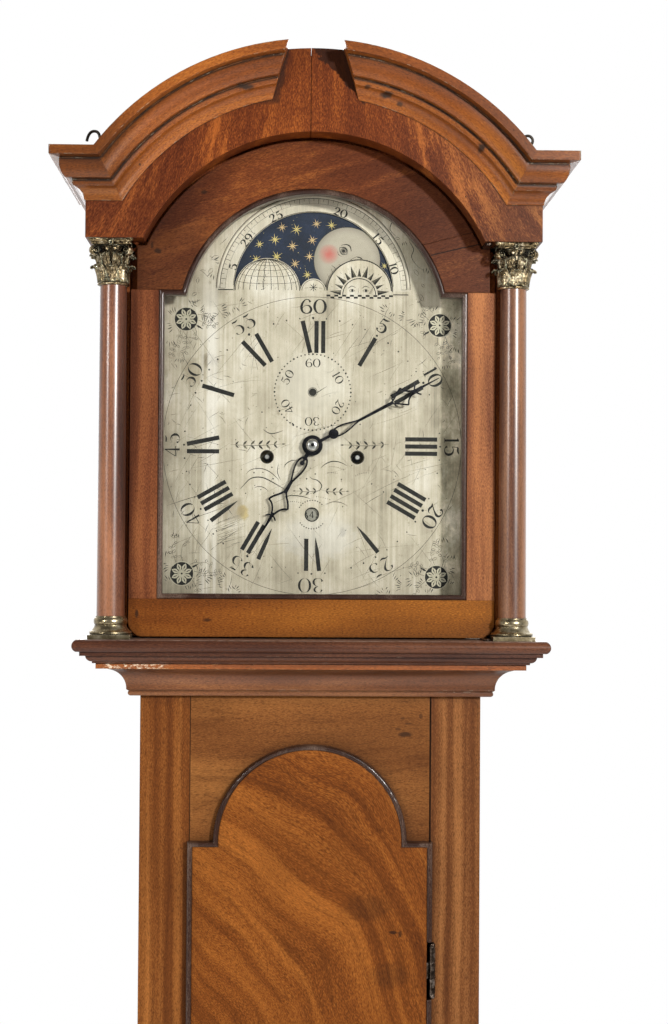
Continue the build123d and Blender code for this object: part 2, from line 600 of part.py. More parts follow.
# ---------------------------------------------------------------- dial
with BuildPart() as dial_plate:
    xd = math.sqrt(R_DIAL ** 2 - (DIAL_SH - ZA) ** 2)
    with BuildSketch(at_y(Y_DIAL + DIAL_T)):
        with BuildLine():
            draw((-DIAL_W, DIAL_Z0), [("L", (DIAL_W, DIAL_Z0)), ("L", (DIAL_W, DIAL_SH)), ("L", (xd, DIAL_SH)),
                                      ("A", (0, ZA + R_DIAL), (-xd, DIAL_SH)), ("L", (-DIAL_W, DIAL_SH))])
        make_face()
        with Locations((0, ZC)):
            Circle(5.2, mode=Mode.SUBTRACT)
        with Locations((0, Z_SEC)):
            Circle(2.6, mode=Mode.SUBTRACT)
        with Locations((0, Z_DATE)):
            Circle(6.3, mode=Mode.SUBTRACT)
        with Locations((WIND_X, WIND_Z), (-WIND_X, WIND_Z)):
            Circle(6.3, mode=Mode.SUBTRACT)
        with BuildSketch(mode=Mode.PRIVATE) as window:
            with Locations((0, Z_MOON)):
                Circle(80.4)
            with Locations((0, Z_MOON - 60)):
                Rectangle(200, 120, mode=Mode.SUBTRACT)
            with Locations((46.3, Z_MOON), (-46.3, Z_MOON)):
                Circle(33.3, mode=Mode.SUBTRACT)
            with Locations((0, Z_MOON)):
                Circle(13, mode=Mode.SUBTRACT)
        add(window.sketch, mode=Mode.SUBTRACT)
    extrude(amount=DIAL_T)
    for fx, fz in ((60, 66), (-60, 66), (60, -62), (-60, -62)):
        rod_y(fx, ZC + fz, 3.0, Y_DIAL + DIAL_T - 0.5, PL_F0)
    rod_y(0, Z_MOON, 2.5, Y_DIAL + DIAL_T - 0.5, -24.0)
    rod_y(0, Z_DATE - 33, 2.5, Y_DIAL + DIAL_T - 0.5, -24.0)
save("dial_plate", dial_plate.part)


def saw_pts(cx, cz, n, r1, r0, lean=0.8):
    pts = []
    for k in range(n):
        a = 2 * math.pi * k / n
        pts.append((cx + r1 * math.cos(a), cz + r1 * math.sin(a)))
        a += 2 * math.pi / n * lean
        pts.append((cx + r0 * math.cos(a), cz + r0 * math.sin(a)))
    return pts


with BuildPart() as moon_disc:
    poly_y(saw_pts(0, Z_MOON, 118, 86.5, 84.0, 0.5), -26.9, -25.7)
    rod_y(0, Z_MOON, 2.5 + RUN, -28, -20, mode=Mode.SUBTRACT)
save("moon_disc", moon_disc.part)

with BuildPart() as date_disc:
    poly_y(saw_pts(0, Z_DATE - 33, 62, 43.5, 41.5, 0.5), -26.9, -25.7)
    rod_y(0, Z_DATE - 33, 2.5 + RUN, -28, -20, mode=Mode.SUBTRACT)
save("date_disc", date_disc.part)


# ---------------------------------------------------------------- hands
def hand_pt(u, v, deg):
    a = math.radians(deg)
    return (u * math.sin(a) + v * math.cos(a), ZC + u * math.cos(a) - v * math.sin(a))


def strokes(deg, lines):
    for width, pts in lines:
        for s in (-1, 1):
            with BuildLine(mode=Mode.PRIVATE) as ln:
                Spline(*[hand_pt(u, s * v, deg) for u, v in pts])
            trace(ln.edges(), line_width=width)


def blade(deg, u0, u1, h0, h1):
    with BuildLine() as ln:
        Polyline(hand_pt(u0, -h0, deg), hand_pt(u1, -h1, deg), hand_pt(u1, h1, deg), hand_pt(u0, h0, deg), close=True)
    make_face(ln.edges())


DEG_M, DEG_H = 61.6, 209.7
with BuildPart() as minute_hand:
    with BuildSketch(at_y(-39.9)):
        with Locations((0, ZC)):
            Circle(7.6)
        blade(DEG_M, 5, 20.5, 1.7, 1.4)
        with Locations(hand_pt(24, 0, DEG_M)):
            Circle(5.0)
        strokes(DEG_M, [(1.5, [(26, 3.6), (33, 4.3), (43, 2.6), (53, 0.3)]),
                        (1.6, [(89.5, 0.7), (94.5, 3.0), (99.5, 6.4), (104.6, 9.4)]),
                        (1.5, [(104.6, 9.4), (106.6, 5.6), (110.8, 2.6), (117, 0.5)]),
                        (1.3, [(92.5, 1.6), (92.2, 3.6), (94.2, 5.4)]),
                        (1.5, [(116, 0.3), (117.8, 3.4), (120.6, 6.2)])])
        blade(DEG_M, 50, 92, 1.2, 1.7)
        blade(DEG_M, 112.5, 144, 1.7, 0.35)
        with Locations((0, ZC)):
            Circle(3.02, mode=Mode.SUBTRACT)
    extrude(amount=1.3)
save("minute_hand", minute_hand.part)

with BuildPart() as hour_hand:
    with BuildSketch(at_y(-34.4)):
        with Locations((0, ZC)):
            Circle(10.3)
        blade(DEG_H, 8, 16.5, 2.0, 1.8)
        with Locations(hand_pt(20.5, 0, DEG_H)):
            Circle(2.3)
        strokes(DEG_H, [(1.8, [(14, 1.0), (18.5, 4.3), (25, 4.9), (34, 3.0), (43, 0.4)]),
                        (1.9, [(53, 0.6), (58, 3.8), (63, 8.0), (68.5, 10.8)]),
                        (1.8, [(68.5, 10.8), (70.5, 6.4), (75, 3.0), (82, 0.5)]),
                        (1.6, [(81, 0.4), (82.0, 3.2), (84.2, 5.6)])])
        blade(DEG_H, 15, 20, 1.0, 1.0)
        blade(DEG_H, 40, 55.5, 1.5, 2.1)
        blade(DEG_H, 78, 104.6, 1.8, 0.4)
        with Locations((0, ZC)):
            Circle(4.62, mode=Mode.SUBTRACT)
    extrude(amount=1.3)
save("hour_hand", hour_hand.part)

# ---------------------------------------------------------------- movement frame
d1, m2 = 34.0, 0.95
d2 = 31.5 * m2
t_z = (54.0 ** 2 + d1 ** 2 - d2 ** 2) / (2 * 54.0)
TX, TZ = math.sqrt(d1 ** 2 - t_z ** 2), ZC + t_z          # third arbor
MX, MZ = 14.4, ZC - 19.2                                   # minute wheel
PX, PZ = -30.0, ZC + 26.0                                  # pin wheel
HAX, HAZ = -62.0, ZC + 52.0                                # hammer arbor
M_GO = math.hypot(WIND_X, WIND_Z - ZC) / 52
M_ST = math.hypot(PX + WIND_X, PZ - WIND_Z) / 46
PIVOTS = [(TX, TZ, 1.0), (0, Z_SEC, 1.0), (PX, PZ, 1.2), (HAX, HAZ, 1.2), (WIND_X, WIND_Z, 3.6), (-WIND_X, WIND_Z, 3.6)]

plates = []
for front, y0, y1 in ((True, PL_F0, PL_F1), (False, PL_B0, PL_B1)):
    with BuildPart() as plate:
        block(-PL_W, PL_W, y0, y1, PL_Z0, PL_Z1)
        for px, pz, rp in PIVOTS:
            rod_y(px, pz, rp + RUN, y0 - 1, y1 + 1, mode=Mode.SUBTRACT)
        if front:
            rod_y(0, ZC, 3.4, y0 - 1, y1 + 1, mode=Mode.SUBTRACT)
            rod_y(MX, MZ, 0.9 + RUN, y0 - 1, y1 + 1, mode=Mode.SUBTRACT)
            rod_y(0, Z_PIV, 1.0 + RUN, y0 - 1, y1 + 1, mode=Mode.SUBTRACT)
        else:
            rod_y(0, ZC, 1.2 + RUN, y0 - 1, y1 + 1, mode=Mode.SUBTRACT)
            rod_y(0, Z_PIV, 7.0, y0 - 1, y1 + 1, mode=Mode.SUBTRACT)
    plates.append(plate.part)
save("front_plate", plates[0])
save("back_plate", plates[1])

pillars = []
for px, pz in ((-64, PL_Z0 + 10), (64, PL_Z0 + 10), (-64, PL_Z1 - 10), (64, PL_Z1 - 10), (0, PL_Z0 + 10)):
    with BuildPart() as pillar:
        with BuildSketch(Plane(origin=(px, 0, pz), x_dir=(0, 1, 0), z_dir=(1, 0, 0))):
            with BuildLine():
                draw((PL_F1, 0), [("L", (PL_F1, 5.0)), ("L", (PL_F1 + 5, 5.0)), ("L", (PL_F1 + 8, 3.4)), ("L", (30, 3.6)),
                                  ("A", (33, 5.6), (36, 3.6)), ("L", (PL_B0 - 8, 3.4)), ("L", (PL_B0 - 5, 5.0)), ("L", (PL_B0, 5.0)),
                                  ("L", (PL_B0, 0))])
            make_face()
        revolve(axis=Axis((px, 0, pz), (0, 1, 0)))
    pillars.append(pillar.part)
save("movement_pillars", *pillars)

with BuildPart() as back_cock:
    for s in (-1, 1):
        block(min(s * 10, s * 15), max(s * 10, s * 15), PL_B1, 86.5, Z_PIV - 7, Z_PIV + 16)
    block(-15, 15, 71.2, 73.6, Z_PIV - 7, Z_PIV + 16)
    block(-15, 15, 71.2, 86.5, Z_PIV + 10, Z_PIV + 16)
    block(-1.4, 1.4, 75, 90, Z_PIV + 5, Z_PIV + 20, mode=Mode.SUBTRACT)
    rod_y(0, Z_PIV, 1.0 + RUN, 70, 75, mode=Mode.SUBTRACT)
save("back_cock", back_cock.part)

BX, BY, BZ = -35.0, 34.0, 1916.0
with BuildPart() as bell_stand:
    block(BX - 6, BX + 6, PL_B1, PL_B1 + 3, 1868, 1908)
    block(BX - 6, BX + 6, BY - 6, PL_B1 + 3, 1905, 1908)
    rod_z(BX, BY, 2.6, 1908, BZ + 44)
    rod_z(BX, BY, 5.0, 1908, BZ + 35.2)
    rod_z(BX, BY, 5.0, BZ + 39.2, BZ + 44)
save("bell_stand", bell_stand.part)

with BuildPart() as bell:
    with BuildSketch(Plane.XZ):
        with BuildLine():
            draw((2.7, BZ + 35.3), [("L", (2.7, BZ + 39.0)), ("A", (30, BZ + 29.5), (42.0, BZ + 6)), ("L", (45, BZ)),
                                    ("L", (42.6, BZ)), ("L", (38.8, BZ + 6)), ("A", (28, BZ + 26), (2.7, BZ + 35.3))])
        make_face()
    revolve(axis=Axis.Z)
save("bell", Pos(BX, BY, 0) * bell.part)

# ---------------------------------------------------------------- going train
ga = angle(WIND_X, WIND_Z, 0, ZC)
with BuildPart() as going_barrel:
    gear(WIND_X, WIND_Z, 96, M_GO, ga, 47, 49.6)
    crossings(WIND_X, WIND_Z, 27.5, 37.5, 5, 7, 46, 51)
    rod_y(WIND_X, WIND_Z, 23.0, 12, 47)
    rod_y(WIND_X, WIND_Z, 27.5, 10, 12)
    arbor(WIND_X, WIND_Z, 4.2, 3.6)
    rod_y(WIND_X, WIND_Z, 3.6, -20, PL_F0 + 0.2)
    with BuildSketch(at_y(-19)):
        with Locations((WIND_X, WIND_Z)):
            Rectangle(5.0, 5.0, rotation=20)
    extrude(amount=12.0)
save("going_barrel", going_barrel.part)

ca = angle(0, ZC, TX, TZ)
ma = angle(0, ZC, MX, MZ)
with BuildPart() as centre_wheel:
    gear(0, ZC, 60, 1.0, ca, 52.0, 54.0)
    crossings(0, ZC, 8.5, 25.0, 4, 5, 51, 55)
    gear(0, ZC, 8, M_GO, ga + 180, 45.5, 51.0, pinion=True, gap=True)
    rod_y(0, ZC, 2.4, PL_F1 + 0.3, PL_B0 - 0.3)
    rod_y(0, ZC, 1.2, PL_B0 - 0.3, PL_B1 - 0.2)
    rod_y(0, ZC, 3.0, -41.6, PL_F1 + 0.3)
    rod_y(0, ZC, 5.4, 50.5, 52.5)
    gear(0, ZC, 40, 0.6, ma, -5.0, -3.0)
    with BuildSketch(Plane(origin=(0, 0, ZC), x_dir=(0, 1, 0), z_dir=(1, 0, 0))):
        with BuildLine():
            draw((-41.3, 0), [("L", (-41.3, 6.2)), ("L", (-42.0, 6.2)), ("A", (-43.6, 4.6), (-44.2, 2.4)), ("L", (-46.4, 2.0)), ("L", (-46.4, 0))])
        make_face()
    revolve(axis=Axis((0, 0, ZC), (0, 1, 0)))
save("centre_wheel", centre_wheel.part)

with BuildPart() as hour_wheel:
    M_H = 24.0 / 39
    gear(0, ZC, 72, M_H, ma, -9.5, -7.5)
    rod_y(0, ZC, 4.6, -36.2, -7.5)
    rod_y(0, ZC, 7.0, -12.0, -9.0)
    rod_y(0, ZC, 3.0 + RUN, -40, 0, mode=Mode.SUBTRACT)
save("hour_wheel", hour_wheel.part)

with BuildPart() as minute_wheel:
    gear(MX, MZ, 40, 0.6, ma + 180, -5.0, -3.0, gap=True)
    gear(MX, MZ, 6, M_H, ma + 180, -10.5, -4.5, pinion=True, gap=True)
    rod_y(MX, MZ, 0.9, -12.0, PL_F1 - 0.2)
save("minute_wheel", minute_wheel.part)

ta = angle(TX, TZ, 0, Z_SEC)
with BuildPart() as third_wheel:
    gear(TX, TZ, 56, m2, ta, 5.0, 7.0)
    crossings(TX, TZ, 6.5, 22.0, 4, 4, 4, 8, turn=20)
    gear(TX, TZ, 8, 1.0, ca + 180, 50.8, 55.5, pinion=True, gap=True)
    arbor(TX, TZ, 1.8, 1.0)
    rod_y(TX, TZ, 4.2, 6.5, 9.0)
save("third_wheel", third_wheel.part)

with BuildPart() as escape_wheel:
    poly_y(saw_pts(0, Z_SEC, 30, 20.0, 16.6, 0.22), 34.0, 36.0)
    crossings(0, Z_SEC, 5.0, 14.2, 4, 3, 33, 37)
    gear(0, Z_SEC, 7, m2, ta + 180, 4.0, 9.5, pinion=True, gap=True)
    arbor(0, Z_SEC, 1.8, 1.0)
    rod_y(0, Z_SEC, 3.8, 35.0, 38.0)
    rod_y(0, Z_SEC, 1.3, -29.0, PL_F0 - 0.3)
    rod_y(0, Z_SEC, 1.0, PL_F0 - 0.5, PL_F1 + 0.4)
save("escape_wheel", escape_wheel.part)

# ---------------------------------------------------------------- pendulum
with BuildPart() as anchor_crutch:
    arm = [(0, Z_PIV + 5), (6, Z_PIV + 3), (20.5, Z_PIV - 12), (20.0, Z_PIV - 17.0), (15.6, Z_PIV - 18.4), (14.8, Z_PIV - 16.6), (13.5, Z_PIV - 11.5), (0, Z_PIV - 5)]
    poly_y(arm + [(-x, z) for x, z in reversed(arm[1:-1])], 32.5, 37.5)
    rod_y(0, Z_PIV, 2.2, PL_F1 + 0.3, 70.6)
    rod_y(0, Z_PIV, 1.0, PL_F0 + 0.2, PL_F1 + 0.3)
    rod_y(0, Z_PIV, 1.0, 70.6, 73.4)
    block(-2.2, 2.2, 67.6, 70.0, Z_PIV - 124, Z_PIV)
    for s in (-1, 1):
        block(min(s * 2.4, s * 5), max(s * 2.4, s * 5), 67.6, 84, Z_PIV - 124, Z_PIV - 119)
    block(-5, 5, 67.6, 70.0, Z_PIV - 124, Z_PIV - 119)
save("anchor_crutch", anchor_crutch.part)

Z_BOB = Z_PIV - 994.0
with BuildPart() as pendulum_rod:
    block(-0.35, 0.35, Y_PEND - 3.6, Y_PEND + 3.6, Z_PIV - 14, Z_PIV + 17)
    block(-4.5, 4.5, Y_PEND - 4, Y_PEND + 4, Z_PIV + 16.6, Z_PIV + 22)
    block(-3, 3, Y_PEND - 4, Y_PEND + 4, Z_PIV - 24, Z_PIV - 12)
    rod_z(0, Y_PEND, 2.0, Z_BOB - 86, Z_PIV - 20)
save("pendulum_rod", pendulum_rod.part)

with BuildPart() as bob:
    with BuildSketch(Plane(origin=(0, 0, Z_BOB), x_dir=(0, 1, 0), z_dir=(1, 0, 0))):
        with BuildLine():
            draw((Y_PEND - 13, 0), [("L", (Y_PEND - 13, 5)), ("A", (Y_PEND - 10, 29), (Y_PEND - 1.4, 53)), ("L", (Y_PEND + 1.4, 53)),
                                    ("A", (Y_PEND + 10, 29), (Y_PEND + 13, 5)), ("L", (Y_PEND + 13, 0))])
        make_face()
    revolve(axis=Axis((0, 0, Z_BOB), (0, 1, 0)))
    rod_z(0, Y_PEND, 2.02, Z_BOB - 80, Z_BOB + 80, mode=Mode.SUBTRACT)
with BuildPart() as rating_nut:
    rod_z(0, Y_PEND, 10.0, Z_BOB - 61, Z_BOB - 55)
    rod_z(0, Y_PEND, 5.0, Z_BOB - 66, Z_BOB - 53.2)
    rod_z(0, Y_PEND, 2.02, Z_BOB - 80, Z_BOB - 40, mode=Mode.SUBTRACT)
save("pendulum_bob", bob.part, rating_nut.part)

# ---------------------------------------------------------------- striking
sa = angle(-WIND_X, WIND_Z, PX, PZ)
with BuildPart() as strike_barrel:
    gear(-WIND_X, WIND_Z, 84, M_ST, sa, 47, 49.6)
    crossings(-WIND_X, WIND_Z, 27.0, 32.0, 5, 7, 46, 51)
    rod_y(-WIND_X, WIND_Z, 23.0, 12, 47)
    rod_y(-WIND_X, WIND_Z, 27.5, 10, 12)
    arbor(-WIND_X, WIND_Z, 4.2, 3.6)
    rod_y(-WIND_X, WIND_Z, 3.6, -20, PL_F0 + 0.2)
    with BuildSketch(at_y(-19)):
        with Locations((-WIND_X, WIND_Z)):
            Rectangle(5.0, 5.0, rotation=-15)
    extrude(amount=12.0)
save("strike_barrel", strike_barrel.part)

with BuildPart() as pin_wheel:
    gear(PX, PZ, 64, 0.8, 0, 59.0, 61.0)
    crossings(PX, PZ, 6.5, 19.0, 4, 4, 58, 62, turn=10)
    gear(PX, PZ, 8, M_ST, sa + 180, 45.5, 51.0, pinion=True, gap=True)
    arbor(PX, PZ, 2.0, 1.2)
    for k in range(8):
        a = math.radians(45 * k + 12)
        rod_y(PX + 21.5 * math.cos(a), PZ + 21.5 * math.sin(a), 1.0, 55.8, 59.5)
save("pin_wheel", pin_wheel.part)

with BuildPart() as hammer:
    arbor(HAX, HAZ, 2.2, 1.2)
    tx, tz = PX - HAX, PZ - HAZ
    tl2 = math.hypot(tx, tz)
    ux, uz = tx / tl2, tz / tl2
    poly_y([(HAX - 2 * uz, HAZ + 2 * ux), (HAX + 16 * ux - 1.2 * uz, HAZ + 16 * uz + 1.2 * ux),
            (HAX + 16 * ux + 1.2 * uz, HAZ + 16 * uz - 1.2 * ux), (HAX + 2 * uz, HAZ - 2 * ux)], 56.0, 58.4)
    poly_y([(HAX - 2, HAZ - 1), (HAX + 2, HAZ + 1), (-88.5, 1925), (-91.5, 1924)], BY - 1.5, BY + 1.5)
    with BuildSketch(Plane.YZ.offset(-98)):
        with Locations((BY, 1922)):
            Circle(6.0)
    extrude(amount=16.2)
save("hammer", hammer.part)

# ---------------------------------------------------------------- weights and lines
for name, line_name, s, zm in (("going_weight", "going_line", 1, Z_GO), ("strike_weight", "strike_line", -1, Z_ST)):
    wx = s * WT_X
    top = zm + WT_H / 2
    zp = top + 48.0
    with BuildPart() as weight:
        with BuildSketch(Plane.XZ):
            with BuildLine():
                draw((0, zm - WT_H / 2), [("L", (WT_R - 2, zm - WT_H / 2)), ("L", (WT_R, zm - WT_H / 2 + 2)), ("L", (WT_R, top - 6)),
                                          ("A", (WT_R * 0.7, top - 1.6), (0, top))])
            make_face()
        revolve(axis=Axis.Z)
        block(-3, 3, -1.5, 1.5, top - 2, top + 16)
        block(-3, 3, -7.5, 7.5, top + 14, top + 18)
        for e in (-1, 1):
            block(-3, 3, min(e * 5.2, e * 7.5), max(e * 5.2, e * 7.5), top + 14, zp + 5)
    with BuildPart() as pulley:
        with BuildSketch(Plane(origin=(0, 0, zp), x_dir=(0, 1, 0), z_dir=(1, 0, 0))):
            with BuildLine():
                draw((-4.8, 0), [("L", (-4.8, 23)), ("L", (-3.2, 23)), ("A", (0, 19.4), (3.2, 23)), ("L", (4.8, 23)), ("L", (4.8, 0))])
            make_face()
        revolve(axis=Axis((0, 0, zp), (0, 1, 0)))
        crossings(0, zp, 6.0, 16.0, 4, 4, -6, 6)
        rod_y(0, zp, 1.8, -5.2, 5.2)
    save(name, Pos(wx, WT_Y, 0) * weight.part, Pos(wx, WT_Y, 0) * pulley.part)
    with BuildPart() as gut:
        xo_, xi_ = s * (WT_X + 20.6), s * (WT_X - 20.6)
        with BuildLine() as gl:
            Line((xo_, WT_Y, WIND_Z), (xo_, WT_Y, zp))
            ThreePointArc((xo_, WT_Y, zp), (wx, WT_Y, zp - 20.6), (xi_, WT_Y, zp))
            Line((xi_, WT_Y, zp), (xi_, WT_Y, 1703.0))
        with BuildSketch(Plane(origin=(xo_, WT_Y, WIND_Z), z_dir=(0, 0, -1))):
            Circle(0.85)
        sweep()
    save(line_name, gut.part)
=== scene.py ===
import math
import random

import bpy
import numpy as np
from mathutils import Matrix, Vector


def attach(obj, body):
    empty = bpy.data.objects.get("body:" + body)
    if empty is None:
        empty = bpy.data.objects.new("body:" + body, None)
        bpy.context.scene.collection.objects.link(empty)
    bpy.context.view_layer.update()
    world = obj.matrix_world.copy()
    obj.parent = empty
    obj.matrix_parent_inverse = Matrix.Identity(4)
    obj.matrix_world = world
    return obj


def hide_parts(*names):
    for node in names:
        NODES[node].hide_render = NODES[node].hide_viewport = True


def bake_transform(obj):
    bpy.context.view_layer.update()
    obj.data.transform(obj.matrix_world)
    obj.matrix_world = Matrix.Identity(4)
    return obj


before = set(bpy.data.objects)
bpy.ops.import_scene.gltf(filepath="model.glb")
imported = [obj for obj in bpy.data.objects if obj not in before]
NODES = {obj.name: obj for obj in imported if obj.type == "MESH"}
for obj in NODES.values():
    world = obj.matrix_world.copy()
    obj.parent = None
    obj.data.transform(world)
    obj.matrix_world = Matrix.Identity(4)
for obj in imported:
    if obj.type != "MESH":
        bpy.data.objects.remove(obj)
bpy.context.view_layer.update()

# ------------------------------------------------------------------ sizes (mm, row frame)
ZA = 1913.0          # centre of the arches
ZC = 1794.5          # centre of the hands
ZM = 1950.3          # centre of the moon disc
ZS = 1848.5          # seconds ring
ZD = 1725.2          # date window
Y_INK = -30.06       # front of the engraving on the dial
COL_X, COL_Y = 196.7, -73.5


# ------------------------------------------------------------------ node trees
class Tree:
    """A small helper that grows one material's node tree."""

    def __init__(self, name):
        self.mat = bpy.data.materials.new(name)
        self.mat.use_nodes = True
        self.t = self.mat.node_tree
        self.t.nodes.clear()
        self.out = self.t.nodes.new("ShaderNodeOutputMaterial")
        self.co = self.t.nodes.new("ShaderNodeTexCoord").outputs["Object"]
        s = self.t.nodes.new("ShaderNodeSeparateXYZ")
        self.t.links.new(self.co, s.inputs[0])
        self.x, self.y, self.z = s.outputs

    def put(self, sock, v):
        if isinstance(v, bpy.types.NodeSocket):
            self.t.links.new(v, sock)
        elif v is not None:
            if hasattr(sock.default_value, "__len__"):
                n = len(sock.default_value)
                v = tuple(v)
                sock.default_value = v + (1.0,) * (n - len(v))
            else:
                sock.default_value = v

    def math(self, op, a, b=None, c=None, clamp=False):
        n = self.t.nodes.new("ShaderNodeMath")
        n.operation = op
        n.use_clamp = clamp
        for s, v in zip(n.inputs, (a, b, c)):
            self.put(s, v)
        return n.outputs[0]

    def add(self, a, b):
        return self.math("ADD", a, b)

    def sub(self, a, b):
        return self.math("SUBTRACT", a, b)

    def mul(self, a, b):
        return self.math("MULTIPLY", a, b)

    def vec(self, a, b, c):
        n = self.t.nodes.new("ShaderNodeCombineXYZ")
        for s, v in zip(n.inputs, (a, b, c)):
            self.put(s, v)
        return n.outputs[0]

    def map(self, v, loc=(0, 0, 0), rot=(0, 0, 0), scale=(1, 1, 1)):
        n = self.t.nodes.new("ShaderNodeMapping")
        self.put(n.inputs["Vector"], v)
        self.put(n.inputs["Location"], loc)
        self.put(n.inputs["Rotation"], rot)
        self.put(n.inputs["Scale"], scale)
        return n.outputs[0]

    def noise(self, v, scale=1.0, detail=2.0, rough=0.5, dist=0.0, colour=False):
        n = self.t.nodes.new("ShaderNodeTexNoise")
        self.put(n.inputs["Vector"], v)
        n.inputs["Scale"].default_value = scale
        n.inputs["Detail"].default_value = detail
        n.inputs["Roughness"].default_value = rough
        n.inputs["Distortion"].default_value = dist
        return n.outputs["Color" if colour else 0]

    def voronoi(self, v, scale=1.0, feature="F1", rnd=1.0):
        n = self.t.nodes.new("ShaderNodeTexVoronoi")
        n.feature = feature
        self.put(n.inputs["Vector"], v)
        n.inputs["Scale"].default_value = scale
        n.inputs["Randomness"].default_value = rnd
        return n.outputs["Distance"]

    def ramp(self, f, stops, interp="LINEAR"):
        n = self.t.nodes.new("ShaderNodeValToRGB")
        n.color_ramp.interpolation = interp
        e = n.color_ramp.elements
        while len(e) < len(stops):
            e.new(0.5)
        for el, (p, c) in zip(e, stops):
            el.position = p
        for el, (p, c) in zip(e, stops):
            el.position = p
            el.color = (c, c, c, 1) if not hasattr(c, "__len__") else tuple(c) + (1,) * (4 - len(c))
        self.put(n.inputs[0], f)
        return n.outputs[0]

    def step(self, f, a, b):
        """0 below a, 1 above b, smooth between."""
        n = self.t.nodes.new("ShaderNodeMapRange")
        n.interpolation_type = "SMOOTHSTEP"
        self.put(n.inputs["Value"], f)
        n.inputs["From Min"].default_value = a
        n.inputs["From Max"].default_value = b
        return n.outputs[0]

    def mix(self, f, a, b, mode="MIX"):
        n = self.t.nodes.new("ShaderNodeMix")
        n.data_type = "RGBA"
        n.blend_type = mode
        n.clamp_factor = True
        self.put(n.inputs[0], f)
        self.put(n.inputs[6], a)
        self.put(n.inputs[7], b)
        return n.outputs[2]

    def vmix(self, f, a, b):
        n = self.t.nodes.new("ShaderNodeMix")
        n.data_type = "VECTOR"
        self.put(n.inputs[0], f)
        self.put(n.inputs[4], a)
        self.put(n.inputs[5], b)
        return n.outputs[1]

    def ao(self, dist, samples=4, local=False):
        n = self.t.nodes.new("ShaderNodeAmbientOcclusion")
        n.samples = samples
        n.only_local = local
        n.inputs["Distance"].default_value = dist
        return n.outputs["AO"]

    def bevel(self, radius, samples=3):
        n = self.t.nodes.new("ShaderNodeBevel")
        n.samples = samples
        n.inputs["Radius"].default_value = radius
        return n.outputs[0]

    def bump(self, h, strength, dist, normal=None):
        n = self.t.nodes.new("ShaderNodeBump")
        n.inputs["Strength"].default_value = strength
        n.inputs["Distance"].default_value = dist
        self.put(n.inputs["Height"], h)
        if normal is not None:
            self.put(n.inputs["Normal"], normal)
        return n.outputs[0]

    def finish(self, **kw):
        b = self.t.nodes.new("ShaderNodeBsdfPrincipled")
        for k, v in kw.items():
            self.put(b.inputs[k.replace("_", " ")], v)
        self.t.links.new(b.outputs[0], self.out.inputs[0])
        return self.mat


